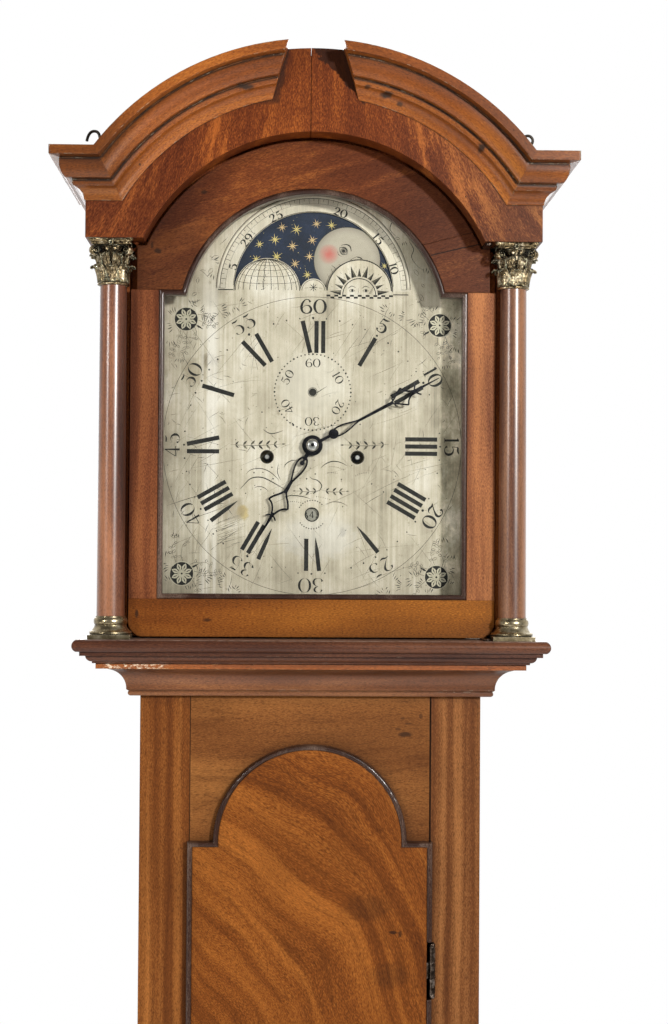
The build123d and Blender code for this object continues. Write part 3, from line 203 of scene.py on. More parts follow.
# ------------------------------------------------------------------ wood
def wood(name, dark, mid, light, grain="z", tilt=0.0, seed=0.0, mitre=None, bend=None, broad=14.0, streak=60.0,
         amp=(1.0, 0.8, 0.75), long=1.6, wave=0.016, fleck=0.0, pores=0.42, rough=0.40, spec=0.12, coat=0.0, coat_rough=0.12, hollow_shade_and_grime=0.75,
         worn=0.25, edge=0.0012, chips=0.0, cloudy=0.25, extra=None, gain=None, groove=(0.66, 0.32), lines=0.0):
    """Polished mahogany. grain names the axis the fibres follow; mitre switches them to Y on the side returns;
    bend bows the figure; tilt turns it in the plane of the front (radians). amp weighs the broad figure, the
    ribbon streaks and the fine stipple."""
    t = Tree(name)
    if bend:
        p = bend(t)
    elif mitre:
        w, yf = mitre
        side = t.math("GREATER_THAN", t.sub(t.math("ABSOLUTE", t.x), w), t.sub(yf, t.y))
        p = t.vmix(side, t.vec(t.x, t.z, t.y), t.vec(t.y, t.z, t.x))
    else:
        p = {"z": lambda: t.vec(t.z, t.x, t.y), "x": lambda: t.vec(t.x, t.z, t.y),
             "y": lambda: t.vec(t.y, t.x, t.z)}[grain]()
    if tilt:
        p = t.map(p, rot=(0, 0, tilt))
    p = t.map(p, loc=(seed, seed * 0.37, seed * 0.73))
    wav = t.noise(t.map(p, scale=(4.5, 11, 11)), detail=2)
    s = t.t.nodes.new("ShaderNodeSeparateXYZ")
    t.put(s.inputs[0], p)
    across = t.add(s.outputs[1], t.mul(t.sub(wav, 0.5), wave))
    q = t.vec(s.outputs[0], across, s.outputs[2])
    s1 = t.noise(t.map(q, scale=(long * 1.6, broad, broad)), detail=2, rough=0.5)
    s2 = t.noise(t.map(q, scale=(long * 2.2, streak, streak)), detail=3, rough=0.55)
    s3 = t.noise(t.map(q, scale=(420, 1500, 1500)), detail=2, rough=0.6)
    f = t.add(t.mul(t.sub(s1, 0.5), 1.9 * amp[0]), t.mul(t.sub(s2, 0.5), 1.6 * amp[1]))
    f = t.add(f, t.mul(t.sub(s3, 0.5), 1.75 * amp[2]))
    if fleck:
        k = t.noise(t.map(q, scale=(13, 62, 62)), detail=4, rough=0.62)
        k2 = t.noise(t.map(p, loc=(4, 2, 0), scale=(5, 12, 12)), detail=1)
        k = t.mul(t.step(k, 0.47, 0.66), t.step(k2, 0.36, 0.62))
        f = t.add(f, t.mul(t.sub(k, 0.2), fleck))
    f = t.add(f, 0.5)
    col = t.ramp(f, [(0.0, dark), (0.28, tuple(0.5 * a + 0.5 * b for a, b in zip(dark, mid))), (0.5, mid),
                     (0.80, light), (1.0, tuple(min(1, 1.25 * c) for c in light))])
    cloud = t.noise(t.map(t.co, loc=(seed, 0, seed), scale=(9, 9, 7)), detail=3)
    col = t.mix(t.mul(t.step(cloud, 0.42, 0.68), cloudy), col, tuple(0.45 * c for c in mid))
    if lines:
        ln = t.noise(t.map(q, loc=(3, 1, 7), scale=(long * 1.9, streak * 0.62, streak * 0.62)), detail=3, rough=0.55)
        e = t.math("ABSOLUTE", t.sub(t.math("FRACT", t.mul(ln, 6.0)), 0.5))
        col = t.mix(t.mul(t.step(e, 0.10, 0.02), lines), col, tuple(0.6 * c for c in dark))
    pore = t.noise(t.map(q, scale=(250, 1300, 1300)), detail=1)
    pm = t.step(pore, 0.56, 0.68)
    col = t.mix(t.mul(pm, pores), col, tuple(0.3 * c for c in dark))
    nrm = t.bevel(edge)
    # Painted shade with some grime: the colour darkens where nearby wood hems the surface in, in corners, moulding
    # hollows and between parts.
    ao = t.ao(0.014)
    crevice_shade_and_grime = t.math("POWER", t.sub(1.0, ao), 1.3)
    col = t.mix(t.math("MULTIPLY", crevice_shade_and_grime, hollow_shade_and_grime, clamp=True), col, tuple(0.14 * c for c in dark))
    # Painted shade with some dirt: narrow grooves and creases darkened nearly to black.
    line = t.step(t.ao(0.0032), *groove)
    col = t.mix(t.math("MULTIPLY", line, hollow_shade_and_grime, clamp=True), col, (0.010, 0.006, 0.004))
    if worn or chips:
        g = t.t.nodes.new("ShaderNodeNewGeometry")
        d = t.t.nodes.new("ShaderNodeVectorMath")
        d.operation = "DOT_PRODUCT"
        t.put(d.inputs[0], nrm)
        t.put(d.inputs[1], g.outputs["Normal"])
        # Paler rubbed edges; with the bead's high setting this pale rim also serves as a painted highlight line along
        # the bead.
        rim = t.step(d.outputs["Value"], 0.985, 0.80)
        rub = t.noise(t.map(t.co, scale=(60, 60, 60)), detail=3)
        col = t.mix(t.mul(t.mul(rim, t.step(rub, 0.42, 0.62)), worn), col, tuple(min(1, 1.4 * c + 0.02) for c in light))
        if chips:
            ch = t.noise(t.map(t.co, loc=(seed, 3, 1), scale=(130, 130, 130)), detail=4, rough=0.7)
            ch2 = t.noise(t.map(t.co, loc=(1, seed, 1), scale=(16, 16, 16)), detail=1)
            m = t.mul(t.mul(t.step(rim, 0.2, 0.5), t.step(ch, 0.53, 0.60)), t.step(ch2, 0.45, 0.55))
            col = t.mix(t.mul(m, chips), col, (0.46, 0.40, 0.34))
    if extra is not None:
        col = extra(t, col)
    if gain:
        col = t.mix(1.0, col, gain, "MULTIPLY")
    r = t.add(rough - 0.06, t.mul(s3, 0.12))
    r = t.add(r, t.mul(crevice_shade_and_grime, 0.2))
    h = t.add(t.mul(pm, -1.0), t.mul(s3, 0.5))
    n = t.bump(h, 0.06, 0.0004, nrm)
    kw = dict(Base_Color=col, Roughness=r, Normal=n, Specular_IOR_Level=spec)
    if coat:
        kw.update(Coat_Weight=coat, Coat_Roughness=coat_rough)
    return t.finish(**kw)


def nails(points, r=1.3):
    """Small dark nail and plug marks on a front face, at (x, z) in mm."""
    def add(t, col):
        p = t.vec(t.x, 0.0, t.z)
        for x, z, k in points:
            v = t.t.nodes.new("ShaderNodeVectorMath")
            v.operation = "DISTANCE"
            t.put(v.inputs[0], p)
            v.inputs[1].default_value = (x * 0.001, 0, z * 0.001)
            m = t.step(v.outputs["Value"], r * k * 0.001, r * k * 0.0004)
            col = t.mix(t.mul(m, 0.85), col, (0.012, 0.006, 0.004))
        return col
    return add


RED_D, RED_M, RED_L = (0.060, 0.013, 0.004), (0.165, 0.040, 0.011), (0.330, 0.100, 0.022)
GOLD_D, GOLD_M, GOLD_L = (0.105, 0.030, 0.006), (0.245, 0.078, 0.013), (0.380, 0.140, 0.026)
DK_D, DK_M, DK_L = (0.036, 0.012, 0.006), (0.096, 0.034, 0.016), (0.190, 0.078, 0.034)


def door_figure(t):
    """The trunk door's sweeping figure: broad arcs that fall away to the right and steepen on the way down."""
    u, v = t.add(t.x, 0.242), t.mul(t.sub(t.z, 1.10), 0.92)
    r = t.math("SQRT", t.add(t.mul(u, u), t.mul(v, v)))
    w = t.noise(t.map(t.co, scale=(6, 2, 5)), detail=2)
    r = t.add(r, t.mul(t.sub(w, 0.5), 0.07))
    return t.vec(t.mul(t.math("ARCTAN2", v, u), 0.30), r, t.y)


def fascia_figure(t):
    """Upright flecks that lean together towards the top of the arch."""
    k = t.add(t.mul(t.sub(t.z, 1.99), 3.0), 1.0)
    return t.vec(t.z, t.mul(t.x, k), t.y)


def arch_figure(t):
    """The arched moulding is cut in short lengths, so its fibres turn with the curve."""
    u, v = t.x, t.sub(t.z, ZA * 0.001)
    r = t.math("SQRT", t.add(t.mul(u, u), t.mul(v, v)))
    arch = t.vec(t.mul(t.math("ARCTAN2", u, v), 0.24), r, t.y)
    side = t.math("GREATER_THAN", t.sub(t.math("ABSOLUTE", t.x), 0.2225), t.sub(-0.096, t.y))
    level = t.vmix(side, t.vec(t.x, t.z, t.y), t.vec(t.y, t.z, t.x))
    k = t.math("GREATER_THAN", t.sub(t.sub(t.z, 2.027), t.mul(t.sub(t.math("ABSOLUTE", t.x), 0.1869), 1.9)), 0.0)
    return t.vmix(k, level, arch)


def two_tone(x_mid, soft, left, right):
    """One end of the board is paler than the other."""
    def add(t, col):
        return t.mix(1.0, col, t.mix(t.step(t.x, x_mid - soft, x_mid + soft), left, right), "MULTIPLY")
    return add


def knot(x, z, rx, rz, k=0.8):
    def add(t, col):
        u, v = t.mul(t.sub(t.x, x * 0.001), 1000 / rx), t.mul(t.sub(t.z, z * 0.001), 1000 / rz)
        n = t.noise(t.map(t.co, scale=(260, 60, 260)), detail=3)
        d = t.add(t.math("SQRT", t.add(t.mul(u, u), t.mul(v, v))), t.mul(t.sub(n, 0.5), 0.9))
        return t.mix(t.mul(t.step(d, 1.1, 0.4), k), col, (0.018, 0.009, 0.005))
    return add


def along_x(*stops):
    """The board's tone drifts from one end to the other: stops of x in mm and a colour factor."""
    def add(t, col):
        k = t.mul(t.add(t.x, 0.2), 2.5)
        return t.mix(1.0, col, t.ramp(k, [((x + 200) / 400, c) for x, c in stops]), "MULTIPLY")
    return add


def seam(x, half=0.6, k=0.85):
    """A dark upright joint line."""
    def add(t, col):
        d = t.math("ABSOLUTE", t.sub(t.x, x * 0.001))
        return t.mix(t.mul(t.step(d, half * 0.0016, half * 0.0006), k), col, (0.008, 0.005, 0.004))
    return add


def joint(x0, z0, x1, z1, half=0.55, k=0.9):
    """A dark slanting joint line."""
    L = math.hypot(x1 - x0, z1 - z0)
    c, s = (x1 - x0) / L, (z1 - z0) / L

    def add(t, col):
        u, v = t.sub(t.x, x0 * 0.001), t.sub(t.z, z0 * 0.001)
        along = t.add(t.mul(u, c), t.mul(v, s))
        n = t.noise(t.map(t.co, scale=(90, 10, 90)), detail=2)
        d = t.math("ABSOLUTE", t.add(t.sub(t.mul(v, c), t.mul(u, s)), t.mul(t.sub(n, 0.5), 0.0010)))
        m = t.mul(t.step(d, half * 0.0016, half * 0.0006), t.mul(t.step(along, -0.0002, 0.0004), t.step(along, L * 0.001 + 0.0004, L * 0.001 - 0.0002)))
        return t.mix(t.mul(m, k), col, (0.006, 0.004, 0.003))
    return add


def glue_stain(t, col):
    """Painted shadow of the right cornice half's cut end, falling on the fascia right of the centre joint at the top of
    the arch, with a ragged edge; and a second darker patch along the left half's cut end.
    """
    n = t.noise(t.map(t.co, scale=(90, 30, 70)), detail=4, rough=0.6)
    e = t.sub(t.x, t.add(-0.001, t.mul(t.sub(2.176, t.z), 0.93)))
    m = t.mul(t.step(t.add(e, t.mul(t.sub(n, 0.5), 0.030)), -0.0005, 0.0015), t.step(t.z, 2.121, 2.126))
    m = t.mul(m, t.step(t.x, 0.050, 0.046))
    col = t.mix(t.mul(m, 0.9), col, (0.020, 0.007, 0.004))
    e2 = t.add(t.add(t.x, 0.0245), t.mul(t.sub(2.176, t.z), 0.20))
    m2 = t.mul(t.step(t.add(e2, t.mul(t.sub(n, 0.5), 0.014)), 0.001, -0.002), t.step(t.z, 2.121, 2.127))
    return t.mix(t.mul(t.mul(m2, t.step(t.x, 0.0, -0.01)), 0.75), col, (0.026, 0.010, 0.006))


def fillet_strip(t, col):
    """The paler strip under the hood, with its finish chipped off at one end."""
    m = t.step(t.z, 1.5722, 1.5728)
    col = t.mix(m, col, t.mix(1.0, col, (1.85, 1.5, 0.95), "MULTIPLY"))
    n = t.noise(t.map(t.co, scale=(170, 120, 330)), detail=4, rough=0.7)
    reg = t.mul(t.step(t.x, -0.206, -0.196), t.step(t.x, -0.138, -0.150))
    return t.mix(t.mul(t.mul(t.mul(t.step(n, 0.50, 0.58), reg), m), 0.9), col, (0.62, 0.50, 0.40))


def dusty_top(z):
    """Dust lying along the top edge of a moulding."""
    def add(t, col):
        n = t.noise(t.map(t.co, scale=(190, 190, 190)), detail=5)
        m = t.mul(t.step(t.z, z - 0.0011, z - 0.0003), t.step(n, 0.15, 0.75))
        return t.mix(t.mul(m, 0.72), col, (0.46, 0.38, 0.32))
    return add


def both(*fs):
    def add(t, col):
        for f in fs:
            col = f(t, col)
        return col
    return add


W = {}
W["fascia"] = wood("mahogany_fascia", RED_D, RED_M, RED_L, bend=fascia_figure, seed=3.1, amp=(0.45, 0.45, 1.1), fleck=0.5,
                   broad=13, streak=60, long=4.2, wave=0.03,
                   gain=(0.95, 0.84, 0.66),
                   extra=both(along_x((-200, (0.72, 0.75, 1.0)), (-60, (0.98, 0.98, 0.92)), (60, (0.98, 0.98, 0.92)), (200, (0.84, 1.16, 2.0))), nails([(-150, 2003, 1), (120, 2040, 1), (147, 2035, 0.8), (190, 2003, 0.8), (-190, 1999, 0.8)]), glue_stain))
W["cornice"] = wood("mahogany_cornice", (0.075, 0.019, 0.004), (0.23, 0.066, 0.012), (0.40, 0.140, 0.026), bend=arch_figure, seed=7.7,
                    amp=(0.6, 0.7, 0.6), rough=0.30, spec=0.42, worn=0.45, edge=0.0016, hollow_shade_and_grime=1.5, chips=0.95, gain=(1.09, 1.0, 0.83), groove=(0.95, 0.58),
                    extra=both(along_x((-200, (0.68, 0.71, 0.70)), (-160, (0.98, 0.97, 0.94)), (160, (0.96, 0.96, 0.92)), (200, (0.82, 0.85, 0.82))), nails([(-88, 2112, 1.2), (-170, 2062, 1.2), (60, 2060, 1)]), knot(-68.5, 2137, 10, 3.4, 0.95), knot(-33, 2128, 5, 7, 0.6),
                               knot(69, 2132, 8, 3.4, 0.95), knot(50, 2139, 4, 2.4, 0.8), knot(82, 2124, 4, 3, 0.8), knot(161, 2081, 4, 5, 0.95)))
W["hood_side"] = wood("mahogany_hood_side", RED_D, RED_M, RED_L, "z", seed=11.3)
W["frame"] = wood("mahogany_hood_frame", RED_D, RED_M, RED_L, "z", seed=12.7, hollow_shade_and_grime=0.0, gain=(1.0, 0.95, 0.9))
# The arch rail's ends are darkened (the along_x stops at -185 and -120 mm on the left, 110 and 185 mm on the right):
# painted shadow of the two capitals; the middle stops are the board's own tone.
W["arch_rail"] = wood("mahogany_arch_rail", RED_D, (0.150, 0.039, 0.012), (0.29, 0.090, 0.022), "x", tilt=-0.27,
                      seed=17.9, amp=(0.6, 0.35, 0.6), fleck=0.26, broad=11, long=2.0, lines=0.2,
                      extra=both(along_x((-185, (0.38, 0.38, 0.46)), (-120, (0.50, 0.50, 0.58)), (-70, (0.92, 0.90, 0.78)), (0, (0.85, 0.84, 0.72)),
                                         (60, (0.78, 0.76, 0.70)), (110, (0.64, 0.69, 0.82)), (185, (0.63, 0.70, 0.90))),
                                 joint(115.5, 1982.2, 164.5, 1994.0), knot(-109, 2042.5, 4.2, 2.6, 0.8), knot(-154, 1983.5, 5.0, 3.0, 0.85), knot(-160, 1989, 2.0, 4.0, 0.7)))
W["door_stile"] = wood("mahogany_door_stile", RED_D, (0.185, 0.052, 0.015), (0.33, 0.108, 0.028), "z", seed=23.4,
                       amp=(0.7, 1.0, 0.7), pores=0.35, lines=0.12, extra=two_tone(0.0, 0.1, (0.76, 0.79, 1.0), (1.04, 1.21, 1.65)))
W["door_rail"] = wood("mahogany_door_rail", GOLD_D, (0.270, 0.080, 0.011), (0.43, 0.150, 0.022), "x", seed=29.2,
                      amp=(0.9, 0.45, 0.8), streak=40, pores=0.42,
                      extra=both(knot(-103, 1620, 5, 2.2, 0.7), two_tone(0.0, 0.16, (0.63, 0.58, 0.56), (0.98, 1.06, 0.90)), knot(-172, 1626, 2.2, 5, 0.8)))
# The bead's pale rim is edge wear and also a painted highlight line along its round.
W["bead"] = wood("mahogany_bead", (0.012, 0.005, 0.004), (0.034, 0.014, 0.009), (0.17, 0.125, 0.105), "z", seed=31.0,
                 amp=(0.4, 0.4, 0.4), rough=0.30, spec=0.25, worn=0.75, coat=0.3, coat_rough=0.14, edge=0.0015, gain=(1.0, 0.9, 0.78))
W["column"] = wood("mahogany_column", (0.040, 0.011, 0.006), (0.175, 0.054, 0.024), (0.40, 0.155, 0.068), "z",
                   seed=37.5, amp=(1.1, 1.0, 0.4), broad=30, pores=0.3, rough=0.34, spec=0.2, coat=1.0, coat_rough=0.265, hollow_shade_and_grime=0.1, gain=(0.86, 0.74, 0.68),
                   extra=two_tone(0.0, 0.1, (0.87, 1.06, 1.22), (0.70, 0.95, 1.14)))
W["hood_base"] = wood("mahogany_hood_base", DK_D, DK_M, DK_L, "x", seed=41.6, mitre=(0.2225, -0.096), amp=(0.7, 0.6, 0.6),
                      rough=0.32, spec=0.36, worn=0.5, chips=0.6, gain=(0.65, 0.56, 0.55), extra=dusty_top(1.602))
W["throat"] = wood("mahogany_throat", DK_D, (0.125, 0.045, 0.019), (0.24, 0.100, 0.040), "x", seed=43.8,
                   mitre=(0.1695, -0.0425), amp=(0.6, 0.6, 0.45), rough=0.30, spec=0.45, worn=0.4, chips=0.8, gain=(1.13, 1.09, 0.97), extra=fillet_strip)
W["stile"] = wood("mahogany_trunk_stile", GOLD_D, (0.215, 0.070, 0.013), (0.38, 0.145, 0.030), "z", seed=47.1,
                  amp=(0.5, 1.15, 0.6), broad=24, streak=74, long=0.45, lines=0.22, wave=0.008, gain=(1.0, 0.94, 0.82), extra=both(two_tone(0.0, 0.1, (0.70, 0.69, 0.83), (0.63, 0.69, 1.16)), seam(119.7, 0.8, 0.9), seam(-119.7, 0.5, 0.6)))
W["rail"] = wood("mahogany_trunk_rail", GOLD_D, (0.205, 0.072, 0.016), (0.30, 0.115, 0.026), "x", seed=53.3,
                 amp=(0.7, 0.4, 0.7), streak=50, gain=(0.86, 0.88, 0.98), lines=0.25, extra=both(seam(119.7, 0.8, 0.9), seam(-119.7, 0.5, 0.6), knot(94.5, 1506, 8.5, 3.2, 0.72), knot(87, 1511.5, 4, 1.5, 0.55), knot(97, 1517, 5, 1.3, 0.5), knot(92, 1522, 2.6, 1.4, 0.5), knot(110, 1524, 2.2, 3.2, 0.5)))
W["door"] = wood("mahogany_trunk_door", GOLD_D, GOLD_M, GOLD_L, bend=door_figure, seed=59.9, amp=(0.45, 0.68, 0.95),
                 broad=21, streak=78, long=1.5, wave=0.02, gain=(0.74, 0.655, 0.57), lines=0.32, extra=both(knot(56, 1335, 30, 17, 0.34), knot(80, 1268, 24, 15, 0.34), knot(83, 1311, 6.5, 2.2), knot(90, 1309, 2.5, 4, 0.7)))
W["trunk_side"] = wood("mahogany_trunk_side", GOLD_D, (0.20, 0.067, 0.014), (0.34, 0.13, 0.03), "z", seed=61.2, long=0.7)
W["base"] = wood("mahogany_base", GOLD_D, (0.22, 0.073, 0.014), (0.36, 0.138, 0.030), "x", seed=67.8)
W["base_side"] = wood("mahogany_base_side", GOLD_D, (0.20, 0.067, 0.014), (0.34, 0.13, 0.03), "z", seed=69.3)
W["base_panel"] = wood("mahogany_base_panel", GOLD_D, GOLD_M, GOLD_L, "x", tilt=0.5, seed=71.4, amp=(1.2, 0.7, 0.9))
W["base_mould"] = wood("mahogany_base_moulding", DK_D, (0.12, 0.04, 0.016), (0.24, 0.09, 0.035), "x", seed=73.7,
                       mitre=(0.1695, -0.0425), rough=0.32, spec=0.45, worn=0.5)
W["plinth"] = wood("mahogany_plinth", DK_D, (0.12, 0.04, 0.015), (0.23, 0.085, 0.032), "x", seed=79.9,
                   mitre=(0.215, -0.088), rough=0.36, worn=0.5, chips=0.5)
OAK = ((0.06, 0.032, 0.014), (0.185, 0.105, 0.048), (0.30, 0.185, 0.09))
W["oak"] = wood("oak_board", *OAK, "z", seed=83.1, amp=(0.45, 0.9, 0.9), broad=34, streak=130, long=0.5, wave=0.006, lines=0.3, cloudy=0.12, pores=0.7, rough=0.6,
                spec=0.2, hollow_shade_and_grime=0.5)
W["oak_x"] = wood("oak_across", *OAK, "x", seed=89.4, amp=(0.5, 0.9, 0.9), broad=30, streak=110, long=0.8, cloudy=0.12, pores=0.7, rough=0.6, spec=0.2)
W["oak_roof"] = wood("oak_roof", (0.045, 0.024, 0.011), (0.13, 0.075, 0.036), (0.22, 0.14, 0.07), "y", seed=97.2,
                     amp=(0.5, 0.9, 0.9), broad=26, streak=90, cloudy=0.15, pores=0.7, rough=0.65, spec=0.2)


# ------------------------------------------------------------------ metals, glass, paint
def metal(name, dark, mid, light, rough=0.34, scale=60.0, hollow_shade_and_grime=0.9, aod=0.006, brushed=None, bump=0.06, edge=0.0006,
          polish=0.35, local=False, fine=0.5, depth=0.0004):
    """Aged metal: cloudy patina, grime in the hollows, polish on the high edges."""
    t = Tree(name)
    a = t.noise(t.co, scale=scale, detail=4, rough=0.6)
    b = t.noise(t.map(t.co, loc=(3, 1, 2)), scale=scale * 6, detail=3)
    f = t.add(t.mul(t.sub(a, 0.5), 1.5), t.add(0.5, t.mul(t.sub(b, 0.5), fine)))
    col = t.ramp(f, [(0.15, dark), (0.5, mid), (0.85, light)])
    h = b
    if brushed is not None:
        br = t.noise(t.map(t.co, scale=brushed), detail=2)
        col = t.mix(t.mul(t.step(br, 0.35, 0.7), 0.35), col, light)
        h = t.add(h, br)
    nrm = t.bevel(edge)
    ao = t.ao(aod, local=local)
    hollow = t.math("POWER", t.sub(1.0, ao), 0.9)
    col = t.mix(t.math("MULTIPLY", hollow, hollow_shade_and_grime, clamp=True), col, tuple(0.18 * c for c in dark))
    g = t.t.nodes.new("ShaderNodeNewGeometry")
    d = t.t.nodes.new("ShaderNodeVectorMath")
    d.operation = "DOT_PRODUCT"
    t.put(d.inputs[0], nrm)
    t.put(d.inputs[1], g.outputs["Normal"])
    rim = t.mul(t.step(d.outputs["Value"], 0.98, 0.75), polish)
    col = t.mix(rim, col, tuple(min(1.0, 1.25 * c) for c in light))
    r = t.add(rough - 0.08, t.mul(a, 0.16))
    r = t.add(r, t.mul(hollow, 0.3))
    return t.finish(Base_Color=col, Roughness=r, Metallic=1.0, Normal=t.bump(h, bump, depth, nrm))


M = {}
M["brass_aged"] = metal("brass_aged", (0.10, 0.070, 0.032), (0.36, 0.27, 0.13), (0.60, 0.50, 0.30), rough=0.36,
                        scale=90, hollow_shade_and_grime=1.0, aod=0.007)
M["brass_clock"] = metal("brass_movement", (0.30, 0.20, 0.075), (0.56, 0.41, 0.17), (0.72, 0.57, 0.28), rough=0.3,
                         scale=25, hollow_shade_and_grime=0.6, brushed=(500, 500, 12))
M["bell"] = metal("bell_metal", (0.30, 0.23, 0.12), (0.55, 0.44, 0.25), (0.72, 0.62, 0.40), rough=0.26, scale=30, hollow_shade_and_grime=0.5)
M["steel"] = metal("steel_bright", (0.16, 0.155, 0.145), (0.38, 0.37, 0.35), (0.60, 0.59, 0.57), rough=0.3, scale=80,
                   hollow_shade_and_grime=0.6)
M["blued"] = metal("steel_blued", (0.006, 0.006, 0.008), (0.016, 0.016, 0.020), (0.045, 0.046, 0.055), rough=0.36,
                   scale=140, hollow_shade_and_grime=0.4, polish=0.25)
M["iron"] = metal("iron_dark", (0.018, 0.014, 0.011), (0.05, 0.041, 0.034), (0.12, 0.10, 0.085), rough=0.5, scale=120,
                  hollow_shade_and_grime=0.6, bump=0.12)
M["brass_cast"] = metal("brass_cast", (0.022, 0.014, 0.009), (0.36, 0.265, 0.135), (0.98, 0.84, 0.58), rough=0.26, scale=72, hollow_shade_and_grime=1.9,
                        aod=0.009, bump=0.9, polish=0.9, edge=0.0008, fine=1.5, depth=0.0011)
M["brass_base"] = metal("brass_turned", (0.08, 0.060, 0.034), (0.41, 0.33, 0.195), (0.72, 0.64, 0.47), rough=0.28, scale=60, hollow_shade_and_grime=1.2,
                        aod=0.008, polish=0.6)
M["bronze"] = metal("hinge_bronze", (0.020, 0.014, 0.010), (0.085, 0.060, 0.045), (0.52, 0.43, 0.36), rough=0.28, scale=120, hollow_shade_and_grime=0.8,
                    aod=0.005, polish=0.9)
M["lead"] = metal("weight_brass", (0.16, 0.115, 0.05), (0.42, 0.32, 0.15), (0.60, 0.49, 0.27), rough=0.36, scale=22,
                  hollow_shade_and_grime=0.6, brushed=(14, 14, 420))


def centre_metal():
    """The centre arbor: yellow brass behind the dial, a bright steel collet in front of the hands."""
    t = Tree("centre_arbor")
    front = t.step(t.y, -0.0395, -0.0400)
    a = t.noise(t.co, scale=120, detail=4)
    brass = t.ramp(a, [(0.3, (0.34, 0.23, 0.085)), (0.7, (0.66, 0.50, 0.22))])
    rr = t.math("SQRT", t.add(t.mul(t.x, t.x), t.mul(t.sub(t.z, ZC * 0.001), t.sub(t.z, ZC * 0.001))))
    ring = t.noise(t.vec(t.mul(rr, 4000), 0.0, 0.0), scale=1.0, detail=2)
    steel = t.ramp(t.add(t.mul(a, 0.5), t.mul(ring, 0.5)), [(0.3, (0.46, 0.46, 0.45)), (0.7, (0.86, 0.86, 0.85))])
    dark = t.mul(t.step(rr, 0.0021, 0.0016), front)
    steel = t.mix(dark, steel, (0.02, 0.02, 0.022))
    col = t.mix(front, brass, steel)
    return t.finish(Base_Color=col, Metallic=1.0, Roughness=t.add(0.24, t.mul(a, 0.14)),
                    Normal=t.bump(ring, 0.05, 0.0003, t.bevel(0.0004)))


M["centre"] = centre_metal()


def barrel_metal():
    """A brass barrel whose arbor comes forward as a steel square with a bright end; forward of the front plate the
    arbor is painted near-black, painted shade standing in for the dark of the winding hole.
    """
    t = Tree("barrel_and_arbor")
    a = t.noise(t.co, scale=60, detail=4)
    brass = t.ramp(a, [(0.3, (0.34, 0.23, 0.085)), (0.7, (0.66, 0.50, 0.22))])
    u, v = t.sub(t.math("ABSOLUTE", t.x), 0.0455), t.sub(t.z, 1.783)
    rr = t.math("SQRT", t.add(t.mul(u, u), t.mul(v, v)))
    # Painted shade: the arbor forward of the front plate is near-black so the winding hole reads dark, save a bright
    # dot at its very end.
    steel = t.mix(t.mul(t.step(rr, 0.0024, 0.0017), t.step(t.y, -0.0300, -0.0306)), (0.022, 0.022, 0.024), (0.62, 0.62, 0.60))
    front = t.step(t.y, -0.002, -0.004)
    col = t.mix(front, brass, steel)
    return t.finish(Base_Color=col, Metallic=1.0, Roughness=t.add(0.28, t.mul(a, 0.14)), Normal=t.bump(a, 0.05, 0.0003, t.bevel(0.0004)))


M["barrel"] = barrel_metal()


